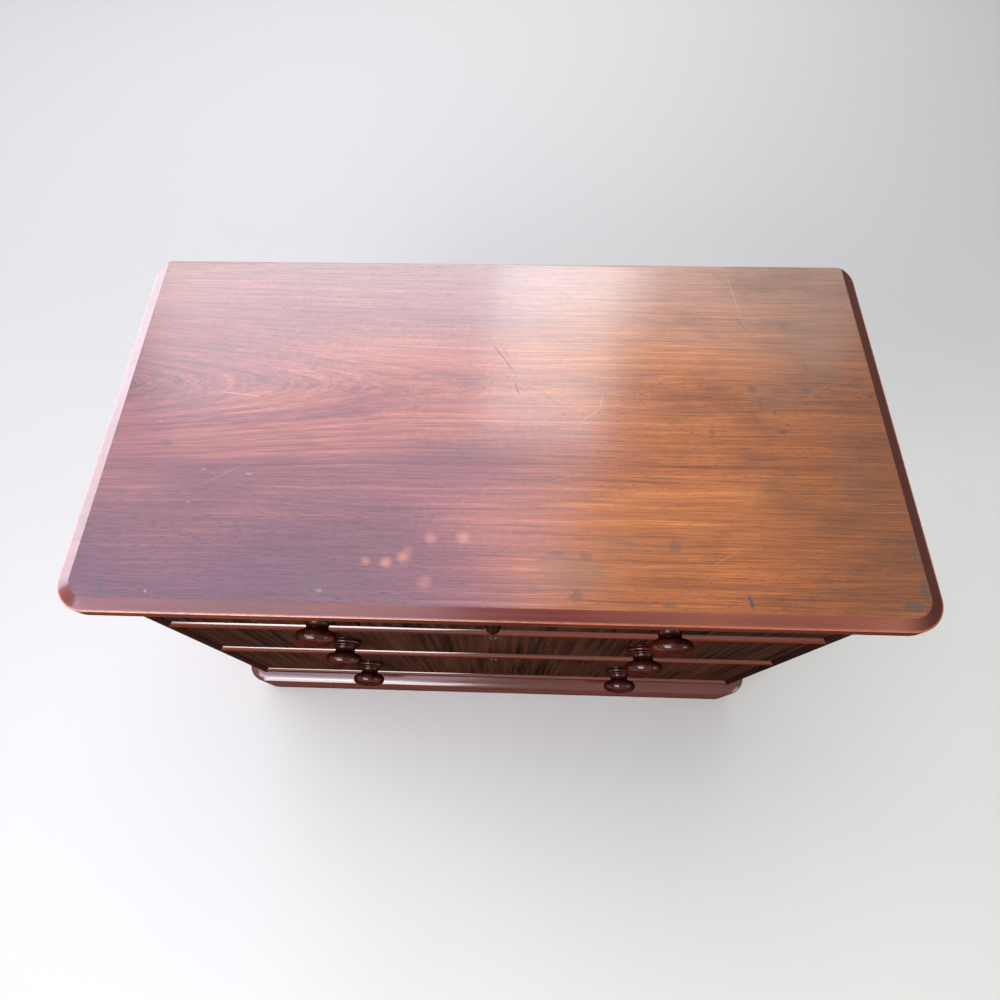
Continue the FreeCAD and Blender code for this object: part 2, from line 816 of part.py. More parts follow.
def case_nodes():
    """Every piece of the case, by name."""
    side = side_board()
    facing = stile_facing()
    plinth_front, plinth_right = plinth_boards()
    screws = [screw_shape(x, y, 0.0) for x, y in screw_places()]
    return {
        "top_board": top_board(),
        "side_left": mirrored(side),
        "side_right": side,
        "rail_top": top_rail(),
        "rail_upper": rail(z_upper_rail),
        "rail_middle": rail(z_middle_rail),
        "rail_bottom": rail(z_bottom_rail),
        "rail_back": back_rail(),
        "muntin": muntin(),
        "facing_top": rail_facing("top"),
        "facing_upper": rail_facing("upper"),
        "facing_middle": rail_facing("middle"),
        "facing_bottom": rail_facing("bottom"),
        "facing_left": mirrored(facing),
        "facing_right": facing,
        "runners": Part.makeCompound(runners()),
        "centre_runner": centre_runner(),
        "kickers": Part.makeCompound(kickers()),
        "dust_boards": Part.makeCompound(dust_boards()),
        "back_boards": Part.makeCompound(back_boards()),
        "drawer_stops": Part.makeCompound(drawer_stops()),
        "plinth_front": plinth_front,
        "plinth_left": mirrored(plinth_right),
        "plinth_right": plinth_right,
        "plinth_back": plinth_back(),
        "plinth_blocks": Part.makeCompound(plinth_blocks()),
        "top_screws": Part.makeCompound(screws),
    }


nodes = case_nodes()
for each in drawers:
    nodes.update(drawer_nodes(each))

os.makedirs("parts", exist_ok=True)
for node_name, node_shape in nodes.items():
    node_shape.exportStep("parts/" + node_name + ".step")
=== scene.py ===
"""The looks of a mahogany chest of two short over two long drawers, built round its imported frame."""
import logging
import math
from dataclasses import dataclass, field
from enum import Enum
from typing import Callable, Optional, Union

import bmesh
import bpy
import numpy as np
from mathutils import Matrix, Vector


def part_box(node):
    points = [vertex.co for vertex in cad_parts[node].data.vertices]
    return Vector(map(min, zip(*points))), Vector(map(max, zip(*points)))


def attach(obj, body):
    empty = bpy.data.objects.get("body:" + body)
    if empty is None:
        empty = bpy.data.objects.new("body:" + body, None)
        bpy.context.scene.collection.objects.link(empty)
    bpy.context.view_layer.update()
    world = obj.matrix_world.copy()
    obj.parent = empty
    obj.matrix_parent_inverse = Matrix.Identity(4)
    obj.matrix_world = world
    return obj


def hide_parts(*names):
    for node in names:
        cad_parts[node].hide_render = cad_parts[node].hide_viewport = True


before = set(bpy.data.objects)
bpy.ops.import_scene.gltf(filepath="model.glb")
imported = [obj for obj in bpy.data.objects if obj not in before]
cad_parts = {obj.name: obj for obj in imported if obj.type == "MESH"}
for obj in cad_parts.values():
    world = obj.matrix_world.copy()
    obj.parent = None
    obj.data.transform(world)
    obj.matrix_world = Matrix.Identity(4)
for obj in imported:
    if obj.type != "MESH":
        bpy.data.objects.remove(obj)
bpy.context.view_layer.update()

log = logging.getLogger("chest")

MM = 0.001
SIDES = (("left", -1.0), ("right", 1.0))
TINY = 1e-6
# Points nearer than this in millimetres become one, and shorter edges go.
MERGE_DISTANCE = 0.01
SHORTEST_EDGE = 0.001
# Where a Mix node keeps its two values and its result, by the kind of value.
MIX_PLACES = {"FLOAT": (2, 3, 0), "RGBA": (6, 7, 2)}
# How far a seed of 1 moves the grain along itself, in millimetres.
SEED_STRIDE = 311.0
# How softly the arches end, and how wide they fade, in millimetres and their square.
REACH_SOFTNESS = 80.0
BELL_SPREAD = 9000.0
SMALLEST_WEAR = 0.05
# Layer Weight's facing where the coat starts to fade, and where it ends.
GLANCE_ENDS = (0.22, 0.45)
PORE_SHADE = 0.35
# How far down a spot of the top reaches, which is deeper than the board.
MARK_DEPTH = 100.0
# The upward share of a normal below which a face looks down, or aside.
LOOKS_DOWN = -0.7
LOOKS_ASIDE = 0.35
TOP_CREASE = 24.0
Socket = bpy.types.NodeSocket
Value = Union[float, tuple, Socket]


class Grain(Enum):
    """The way that the grain of a board runs."""

    ACROSS = 0
    DEEP = 1
    UPRIGHT = 2


def colour(red: int, green: int, blue: int) -> tuple[float, float, float, float]:
    """A colour written as on a screen, turned into linear light.

    Each channel is shared by 255, and then follows the screen curve: a straight part near
    black and a power of 2.4 above it.

    Args:
        red: Red, from 0 to 255.
        green: Green, from 0 to 255.
        blue: Blue, from 0 to 255.

    Returns:
        The linear colour with full alpha.
    """
    shares = np.array([red, green, blue]) / 255.0
    low = shares / 12.92
    high = ((shares + 0.055) / 1.055) ** 2.4
    linear = np.where(shares <= 0.04045, low, high)
    return (float(linear[0]), float(linear[1]), float(linear[2]), 1.0)


DUST_TONE = colour(150, 138, 128)


class Shell:
    """A closed surface, gathered from sheets of points in millimetres."""

    def __init__(self) -> None:
        """Starts with no sheets."""
        self.points: list[np.ndarray] = []
        self.quads: list[np.ndarray] = []
        self.count = 0

    def sheet(self, points: np.ndarray) -> None:
        """Adds a sheet of quads over a grid of points.

        The quad at row r and column c joins the points (r, c), (r, c+1), (r+1, c+1), (r+1, c).

        Args:
            points: An array of rows by columns by three coordinates.
        """
        rows, columns = points.shape[:2]
        index = np.arange(rows * columns).reshape(rows, columns) + self.count
        quads = np.stack([index[:-1, :-1], index[:-1, 1:], index[1:, 1:], index[1:, :-1]], axis=-1)
        self.points.append(points.reshape(-1, 3))
        self.quads.append(quads.reshape(-1, 4))
        self.count += rows * columns

    def build(self, name: str, crease: float = 32.0) -> bpy.types.Object:
        """Makes the sheets one closed mesh object in metres.

        Points that lie together become one, and the faces are turned outwards.

        Args:
            name: The object's name.
            crease: Edges that turn by more degrees than this stay sharp.

        Returns:
            The new object.
        """
        mesh = bpy.data.meshes.new(name)
        points = np.concatenate(self.points) * MM
        quads = np.concatenate(self.quads)
        mesh.from_pydata(points.tolist(), [], quads.tolist())
        work = bmesh.new()
        work.from_mesh(mesh)
        bmesh.ops.remove_doubles(work, verts=work.verts, dist=MERGE_DISTANCE * MM)
        bmesh.ops.dissolve_degenerate(work, edges=work.edges, dist=SHORTEST_EDGE * MM)
        bmesh.ops.recalc_face_normals(work, faces=work.faces)
        work.to_mesh(mesh)
        work.free()
        mesh.shade_smooth()
        mesh.set_sharp_from_angle(angle=math.radians(crease))
        piece = bpy.data.objects.new(name, mesh)
        bpy.context.scene.collection.objects.link(piece)
        return piece


def points_from(x: np.ndarray, y: np.ndarray, z: np.ndarray) -> np.ndarray:
    """Three arrays of coordinates, spread to one shape and stacked as points.

    Args:
        x: Coordinates across.
        y: Coordinates from front to back.
        z: Coordinates upwards.

    Returns:
        An array with three coordinates last.
    """
    return np.stack(np.broadcast_arrays(x, y, z), axis=-1).astype(float)


def arc(start: tuple[float, float], end: tuple[float, float], bulge: float, count: int) -> np.ndarray:
    """Points along a round arc between two points.

    The bulge is how far the middle of the arc stands off its chord, to the left of the way from
    start to end. The radius is the half chord squared plus the bulge squared, over twice the
    bulge.

    Args:
        start: The first point.
        end: The last point.
        bulge: The height of the arc over its chord, negative to the right.
        count: The number of points.

    Returns:
        An array of count points in the plane.
    """
    first = np.array(start, float)
    last = np.array(end, float)
    half = np.linalg.norm(last - first) / 2
    along = (last - first) / (2 * half)
    left = np.array([-along[1], along[0]])
    radius = (half ** 2 + bulge ** 2) / (2 * abs(bulge))
    reach = 2 * math.atan2(abs(bulge), half)
    turns = np.linspace(-reach, reach, count)
    rise = radius * (np.cos(turns) - math.cos(reach)) * math.copysign(1.0, bulge)
    middle = (first + last) / 2
    return middle + np.outer(radius * np.sin(turns), along) + np.outer(rise, left)


class Graph:
    """A tree of shader nodes that is being built."""

    def __init__(self, tree: bpy.types.NodeTree) -> None:
        """Keeps the tree that nodes are added to."""
        self.tree = tree

    def add(self, kind: str, values: Union[tuple, dict] = (), **settings: object) -> bpy.types.Node:
        """Adds a node.

        Args:
            kind: The node's type.
            values: What its inputs get, in their order, or by name or number.
            **settings: Properties of the node, which are set first.

        Returns:
            The new node.
        """
        node = self.tree.nodes.new(kind)
        for name, value in settings.items():
            setattr(node, name, value)
        for place, value in values.items() if isinstance(values, dict) else enumerate(values):
            self.feed(node.inputs[place], value)
        return node

    def feed(self, socket: Socket, value: Value) -> None:
        """Links an output into a socket, or writes a plain value there.

        Args:
            socket: The input.
            value: The output or the plain value.
        """
        if isinstance(value, Socket):
            self.tree.links.new(value, socket)
        else:
            socket.default_value = value

    def maths(self, operation: str, *values: Value, clamp: bool = False) -> Socket:
        """The result of a sum on one to three numbers, kept from 0 to 1 by a clamp."""
        return self.add("ShaderNodeMath", values, operation=operation, use_clamp=clamp).outputs[0]

    def times(self, first: Value, second: Value) -> Socket:
        """The product of two numbers."""
        return self.maths("MULTIPLY", first, second)

    def plus(self, first: Value, second: Value) -> Socket:
        """The sum of two numbers."""
        return self.maths("ADD", first, second)

    def less(self, first: Value, second: Value) -> Socket:
        """The first number less the second."""
        return self.maths("SUBTRACT", first, second)

    def over(self, first: Value, second: Value, clamp: bool = False) -> Socket:
        """The first number over the second."""
        return self.maths("DIVIDE", first, second, clamp=clamp)

    def fused(self, value: Value, factor: Value, added: Value, clamp: bool = False) -> Socket:
        """A value times a factor, with a number added."""
        return self.maths("MULTIPLY_ADD", value, factor, added, clamp=clamp)

    def most(self, first: Value, second: Value) -> Socket:
        """The greater of two numbers."""
        return self.maths("MAXIMUM", first, second)

    def least(self, first: Value, second: Value) -> Socket:
        """The smaller of two numbers."""
        return self.maths("MINIMUM", first, second)

    def vectors(self, operation: str, *values: Value) -> Socket:
        """The result of a sum on vectors, which is a number for lengths and dot products."""
        node = self.add("ShaderNodeVectorMath", values, operation=operation)
        return node.outputs[int(operation in ("DOT_PRODUCT", "LENGTH", "DISTANCE"))]

    def scaled(self, vector: Value, factor: Value) -> Socket:
        """A vector made longer by a factor."""
        return self.add("ShaderNodeVectorMath", {0: vector, "Scale": factor}, operation="SCALE").outputs[0]

    def split(self, vector: Value) -> tuple:
        """The three coordinates of a vector."""
        return tuple(self.add("ShaderNodeSeparateXYZ", (vector,)).outputs)

    def join(self, x: Value, y: Value, z: Value) -> Socket:
        """A vector of three coordinates."""
        return self.add("ShaderNodeCombineXYZ", (x, y, z)).outputs[0]

    def noise(self, place: Value, stretch: Union[float, tuple], detail: float, rough: float) -> Socket:
        """Adds soft noise from 0 to 1.

        Args:
            place: Where the noise is read.
            stretch: What the place is multiplied by, all of it or each coordinate.
            detail: How many finer layers are added.
            rough: How strong the finer layers are.

        Returns:
            The noise.
        """
        several = isinstance(stretch, tuple)
        spread = self.vectors("MULTIPLY", place, stretch) if several else self.scaled(place, stretch)
        values = {"Vector": spread, "Scale": 1.0, "Detail": detail, "Roughness": rough}
        return self.add("ShaderNodeTexNoise", values).outputs[0]

    def lot(self, number: Value) -> Socket:
        """A lot from 0 to 1, always the same one for the same number."""
        return self.add("ShaderNodeTexWhiteNoise", {"W": number}, noise_dimensions="1D").outputs[0]

    def remap(self, *values: Value) -> Socket:
        """A soft step: a value from low to high becomes 0 to 1, or the two ends that follow."""
        return self.add("ShaderNodeMapRange", values, interpolation_type="SMOOTHSTEP").outputs[0]

    def mixed(self, kind: str, share: Value, first: Value, second: Value, mode: str = "MIX") -> Socket:
        """Mixes two values of one kind.

        Args:
            kind: FLOAT for numbers and RGBA for colours.
            share: How much of the second one shows.
            first: The first value.
            second: The second value.
            mode: The way of mixing.

        Returns:
            The mixture.
        """
        first_place, second_place, result_place = MIX_PLACES[kind]
        values = {0: share, first_place: first, second_place: second}
        return self.add("ShaderNodeMix", values, data_type=kind, blend_type=mode).outputs[result_place]

    def tint(self, share: Value, first: Value, second: Value) -> Socket:
        """The first colour with a share of the second."""
        return self.mixed("RGBA", share, first, second)

    def shaded(self, shade: Value, light: Value) -> Socket:
        """A colour times a number."""
        return self.mixed("RGBA", 1.0, shade, self.join(light, light, light), "MULTIPLY")

    def use(self, group: bpy.types.NodeTree, **values: Value) -> dict:
        """Places a shared group with its own values, and gives its outputs by name."""
        node = self.add("ShaderNodeGroup", values, node_tree=group)
        return {socket.name: socket for socket in node.outputs}


class Effects:
    """The shared effects, each a node group that is made once."""

    def __init__(self) -> None:
        """Makes the groups."""
        origin = (0.0, 0.0, 0.0)
        self.grain = self.make("wood_grain", self.fill_grain,
                               {"Position": origin, "Pitch": 14.0, "Waver": 8.0, "Seed": 0.0},
                               ("Bands", "Streaks", "Fibres", "Pores", "Cloud"))
        self.arch = self.make("arch_rings", self.fill_arch,
                              {"Position": origin, "Axis": 0.0, "Reach": 0.0, "Slope": 5.0,
                               "Hollow": 30.0, "Pitch": 55.0, "Waver": 20.0, "Seed": 0.0},
                              ("Band", "Tone", "Flow", "Away"))
        self.edge = self.make("edge_wear", self.fill_edge,
                              {"Position": origin, "Low": origin, "High": origin,
                               "Width": 2.0, "Ragged": 0.5},
                              ("Wear",))
        self.spot = self.make("stain_spot", self.fill_spot,
                              {"Position": origin, "Centre": origin, "Size": (1.0, 1.0, 1.0),
                               "Softness": 0.4, "Ragged": 0.0},
                              ("Mask",))
        self.stroke = self.make("scratch_stroke", self.fill_stroke,
                                {"Position": origin, "Start": origin, "Finish": origin, "Width": 1.0},
                                ("Mask",))
        self.dust = self.make("dust", self.fill_dust,
                              {"Position": origin, "Amount": 0.5}, ("Mask", "Smudge"))

    @staticmethod
    def make(name: str, fill: Callable, inputs: dict, outputs: tuple) -> bpy.types.NodeTree:
        """Makes a group with named sockets and fills it.

        Args:
            name: The group's name.
            fill: A function that takes the graph and the inputs and gives the outputs in order.
            inputs: Each input's name and plain value.
            outputs: The outputs' names.

        Returns:
            The group.
        """
        tree = bpy.data.node_groups.new(name, "ShaderNodeTree")
        for label, value in inputs.items():
            kind = "NodeSocketVector" if isinstance(value, tuple) else "NodeSocketFloat"
            socket = tree.interface.new_socket(label, in_out="INPUT", socket_type=kind)
            socket.default_value = value
        for label in outputs:
            tree.interface.new_socket(label, in_out="OUTPUT", socket_type="NodeSocketFloat")
        graph = Graph(tree)
        source = graph.add("NodeGroupInput")
        target = graph.add("NodeGroupOutput")
        results = fill(graph, {socket.name: socket for socket in source.outputs if socket.name})
        for socket, result in zip(target.inputs, results):
            graph.feed(socket, result)
        return tree

    @staticmethod
    def fill_grain(graph: Graph, given: dict) -> tuple:
        """Wood grain: x runs along it, in millimetres.

        Bands are a sine of the distance across over the pitch, after soft noise has bent it by
        the waver. Streaks, fibres and pores are noise that is drawn out along the grain, ever
        finer across it. The cloud is broad noise. The seed moves the place far along the grain.

        Args:
            graph: The group's graph.
            given: The group's inputs.

        Returns:
            The bands, streaks, fibres, pores and cloud.
        """
        seed = given["Seed"]
        moved = graph.join(graph.times(seed, SEED_STRIDE), seed, seed)
        place = graph.vectors("ADD", given["Position"], moved)
        bend = graph.less(graph.noise(place, (0.0022, 0.011, 0.011), 2.0, 0.5), 0.5)
        _, across, up = graph.split(place)
        distance = graph.plus(across, graph.times(up, 0.6))
        bent = graph.fused(bend, graph.times(given["Waver"], 4.0), distance)
        phase = graph.times(graph.over(bent, given["Pitch"]), math.tau)
        bands = graph.fused(graph.maths("SINE", phase), 0.5, 0.5)
        streaks = graph.noise(place, (0.0035, 0.12, 0.12), 3.0, 0.6)
        fibres = graph.noise(place, (0.012, 0.9, 0.9), 2.0, 0.6)
        pores = graph.remap(graph.noise(place, (0.13, 1.9, 1.9), 1.0, 0.5), 0.60, 0.70)
        cloud = graph.noise(place, (0.004, 0.012, 0.012), 2.0, 0.5)
        return bands, streaks, fibres, pores, cloud

    @staticmethod
    def fill_arch(graph: Graph, given: dict) -> tuple:
        """Growth rings of a board cut beside the heart: arches that open against the grain's way.

        The flow is the distance across that the grain follows. It is the root of the distance
        from the axis squared and the hollow squared, plus a pull over the slope. The pull is
        how far the place lies before the reach, softly ending there, and it fades like a bell
        away from the axis, so that the arches run out into straight grain. The rings are steps
        of the flow times the slope: the band rises slowly over a ring and falls at its end, and
        each ring has a tone of its own.

        Args:
            graph: The group's graph.
            given: The group's inputs.

        Returns:
            The band, the tone, the flow and the distance from the axis.
        """
        along, across, _ = graph.split(given["Position"])
        waver = graph.noise(given["Position"], (0.004, 0.02, 0.0), 3.0, 0.55)
        away = graph.less(across, given["Axis"])
        square = graph.fused(away, away, graph.maths("POWER", given["Hollow"], 2.0))
        before = graph.less(along, given["Reach"])
        soft = graph.maths("SQRT", graph.fused(before, before, REACH_SOFTNESS ** 2))
        pull = graph.times(graph.less(before, soft), 0.5)
        spread = graph.over(graph.times(away, away), -BELL_SPREAD)
        pull = graph.times(pull, graph.maths("EXPONENT", spread))
        bend = graph.plus(pull, graph.times(graph.less(waver, 0.5), given["Waver"]))
        bend = graph.plus(bend, given["Seed"])
        flow = graph.plus(graph.maths("SQRT", square), graph.over(bend, given["Slope"]))
        count = graph.over(graph.times(flow, given["Slope"]), given["Pitch"])
        share = graph.maths("FRACT", count)
        band = graph.times(graph.remap(share, 0.1, 0.85), graph.remap(share, 0.88, 1.0, 1.0, 0.0))
        ring = graph.maths("FLOOR", count)
        tone = graph.mixed("FLOAT", share, graph.lot(ring), graph.lot(graph.plus(ring, 1.0)))
        return band, tone, flow, away

    @staticmethod
    def fill_edge(graph: Graph, given: dict) -> tuple:
        """Wear along the arrises of a box, from its lowest to its highest corner.

        On each axis the distance to the nearer face is taken. The second smallest of the three
        is the distance to the nearest arris: the sum less the least and the greatest. The
        ragged input, from 0 to 1, makes the wear uneven.

        Args:
            graph: The group's graph.
            given: The group's inputs.

        Returns:
            The wear alone.
        """
        below = graph.vectors("SUBTRACT", given["Position"], given["Low"])
        above = graph.vectors("SUBTRACT", given["High"], given["Position"])
        x, y, z = graph.split(graph.vectors("ABSOLUTE", graph.vectors("MINIMUM", below, above)))
        smallest = graph.least(x, graph.least(y, z))
        greatest = graph.most(x, graph.most(y, z))
        total = graph.plus(x, graph.plus(y, z))
        nearest = graph.less(graph.less(total, smallest), greatest)
        reach = graph.times(given["Width"], graph.fused(given["Ragged"], 2.0, -0.3))
        shared = graph.over(nearest, graph.most(reach, SMALLEST_WEAR))
        return (graph.remap(shared, 0.3, 1.0, 1.0, 0.0),)

    @staticmethod
    def fill_spot(graph: Graph, given: dict) -> tuple:
        """A ragged spot: one inside the distance 1 from its centre, measured in its own sizes.

        Args:
            graph: The group's graph.
            given: The group's inputs.

        Returns:
            The mask alone.
        """
        away = graph.vectors("SUBTRACT", given["Position"], given["Centre"])
        shared = graph.vectors("DIVIDE", away, given["Size"])
        distance = graph.plus(given["Ragged"], graph.vectors("LENGTH", shared))
        inner = graph.less(1.0, given["Softness"])
        return (graph.remap(distance, inner, 1.0, 1.0, 0.0),)

    @staticmethod
    def fill_stroke(graph: Graph, given: dict) -> tuple:
        """A scratch: one within half its width of the line from start to finish.

        The share along the line is the dot product of the way to the point and the line, over
        the line's own square, kept from 0 to 1. The scratch thins out at both ends.

        Args:
            graph: The group's graph.
            given: The group's inputs.

        Returns:
            The mask alone.
        """
        line = graph.vectors("SUBTRACT", given["Finish"], given["Start"])
        away = graph.vectors("SUBTRACT", given["Position"], given["Start"])
        reached = graph.vectors("DOT_PRODUCT", away, line)
        share = graph.over(reached, graph.vectors("DOT_PRODUCT", line, line), clamp=True)
        distance = graph.vectors("DISTANCE", away, graph.scaled(line, share))
        ends = graph.times(share, graph.less(1.0, share))
        width = graph.times(given["Width"], graph.fused(ends, 1.6, 0.25))
        return (graph.remap(graph.over(distance, width), 0.3, 1.0, 1.0, 0.0),)

    @staticmethod
    def fill_dust(graph: Graph, given: dict) -> tuple:
        """Dust specks and broad smudges, both from noise, more of them with the amount.

        Args:
            graph: The group's graph.
            given: The group's inputs.

        Returns:
            The specks and the smudges.
        """
        fine = graph.noise(given["Position"], 0.7, 2.0, 0.6)
        broad = graph.noise(given["Position"], 0.012, 3.0, 0.55)
        mask = graph.times(graph.remap(fine, 0.58, 0.75), given["Amount"])
        smudge = graph.times(graph.remap(broad, 0.4, 0.72), given["Amount"])
        return mask, smudge


def dressed_shader(name: str) -> tuple[bpy.types.Material, Graph, bpy.types.Node, Socket]:
    """Starts a material with one shader, and the place on the piece in millimetres.

    Args:
        name: The material's name.

    Returns:
        The material, its graph, its shader and the position.
    """
    material = bpy.data.materials.new(name)
    material.use_nodes = True
    graph = Graph(material.node_tree)
    shader = material.node_tree.nodes["Principled BSDF"]
    coordinates = graph.add("ShaderNodeTexCoord")
    return material, graph, shader, graph.scaled(coordinates.outputs["Object"], 1.0 / MM)


def along_grain(graph: Graph, position: Value, grain: Grain) -> Socket:
    """The position with its first coordinate along the grain.

    Args:
        graph: The material's graph.
        position: The place on the piece.
        grain: The way of the grain.

    Returns:
        The turned position.
    """
    x, y, z = graph.split(position)
    orders = {Grain.ACROSS: (x, y, z), Grain.DEEP: (y, x, z), Grain.UPRIGHT: (z, x, y)}
    return graph.join(*orders[grain])


def set_plain(shader: bpy.types.Node, **values: Union[float, tuple]) -> None:
    """Writes plain values to a shader's inputs, by name with _ for a space."""
    for name, value in values.items():
        shader.inputs[name.replace("_", " ")].default_value = value


def bump(graph: Graph, shader: bpy.types.Node, height: Value, strength: float, distance: float) -> None:
    """Feeds a height to the shader's normal.

    Args:
        graph: The material's graph.
        shader: The shader.
        height: The height as a share of the distance.
        strength: How much of the bump shows.
        distance: The height of 1, in millimetres.
    """
    values = {"Strength": strength, "Distance": distance * MM, "Height": height}
    graph.feed(shader.inputs["Normal"], graph.add("ShaderNodeBump", values).outputs[0])


@dataclass(frozen=True)
class WoodFinish:
    """A wood with its polish and its age.

    The glance is the share of the coat that is left where the wood is seen at a low angle,
    because a room with dark walls leaves the polish dark there.
    """

    name: str
    dark: tuple
    middle: tuple
    light: tuple
    pitch: float = 14.0
    waver: float = 8.0
    band_share: float = 0.35
    streak_share: float = 0.6
    pore_share: float = 0.5
    roughness: float = 0.35
    coat: float = 0.0
    coat_roughness: float = 0.15
    coat_index: float = 1.5
    glance: float = 1.0
    specular: float = 0.5
    bump_height: float = 0.12
    dust: float = 0.3
    worn: tuple = (0.5, 0.3, 0.2, 1.0)
    wear_share: float = 0.0
    wear_width: float = 2.2

    def figure(self, graph: Graph, wood: dict) -> Socket:
        """The wood's own colour, before wear and dust.

        Streaks pick from dark to light and are mixed into the middle tone. Bands darken it,
        clouds lighten it, pores are near black and the fibres make it a little uneven.

        Args:
            graph: The material's graph.
            wood: The grain's outputs.

        Returns:
            The colour.
        """
        pore_tone = tuple(PORE_SHADE * part for part in self.dark[:3]) + (1.0,)
        streaks = graph.tint(graph.remap(wood["Streaks"], 0.32, 0.68), self.dark, self.light)
        shade = graph.tint(self.streak_share, self.middle, streaks)
        shade = graph.tint(graph.times(wood["Bands"], self.band_share), shade, self.dark)
        shade = graph.tint(graph.remap(wood["Cloud"], 0.35, 0.7, 0.0, 0.45), shade, self.light)
        shade = graph.tint(graph.times(wood["Pores"], self.pore_share), shade, pore_tone)
        return graph.shaded(shade, graph.remap(wood["Fibres"], 0.3, 0.7, 0.86, 1.12))

    def material(self, effects: Effects, grain: Grain, seed: float = 0.0,
                 limits: Optional[tuple] = None) -> bpy.types.Material:
        """Makes the finish for boards whose grain runs one way.

        Args:
            effects: The shared effects.
            grain: The way of the grain.
            seed: Shifts the figure, so that no two boards are alike.
            limits: The lowest and highest corner in millimetres of the piece, for worn arrises.

        Returns:
            The material.
        """
        material, graph, shader, position = dressed_shader(f"{self.name}_{grain.name.lower()}_{seed:g}")
        place = along_grain(graph, position, grain)
        wood = graph.use(effects.grain, Position=place, Pitch=self.pitch, Waver=self.waver, Seed=seed)
        shade = self.figure(graph, wood)
        roughness = graph.fused(wood["Cloud"], 0.16, self.roughness - 0.08)
        if limits is not None and self.wear_share:
            edge = graph.use(effects.edge, Position=position, Low=limits[0], High=limits[1],
                             Width=self.wear_width, Ragged=graph.noise(position, 0.05, 2.0, 0.6))
            worn = graph.times(edge["Wear"], self.wear_share)
            shade = graph.tint(worn, shade, self.worn)
            roughness = graph.fused(worn, 0.2, roughness)
        dust = graph.use(effects.dust, Position=position, Amount=self.dust)
        shade = graph.tint(graph.times(dust["Mask"], 0.35), shade, DUST_TONE)
        facing = graph.add("ShaderNodeLayerWeight").outputs["Facing"]
        coat = graph.remap(facing, *GLANCE_ENDS, self.coat, self.coat * self.glance)
        graph.feed(shader.inputs["Base Color"], shade)
        graph.feed(shader.inputs["Roughness"], graph.fused(dust["Smudge"], 0.25, roughness, clamp=True))
        graph.feed(shader.inputs["Coat Weight"], coat)
        set_plain(shader, Coat_Roughness=self.coat_roughness, Coat_IOR=self.coat_index,
                  Specular_IOR_Level=self.specular)
        bump(graph, shader, graph.fused(wood["Pores"], -1.0, wood["Fibres"]), 0.5, self.bump_height)
        return material


@dataclass(frozen=True)
class Spot:
    """A spot on the top: its place and half sizes in millimetres, and its strength."""

    x: float
    y: float
    across: float
    deep: float
    strength: float = 0.7


@dataclass(frozen=True)
class Stroke:
    """A scratch on the top: the points that it runs through, its width and its strength."""

    points: tuple
    width: float
    strength: float = 0.7


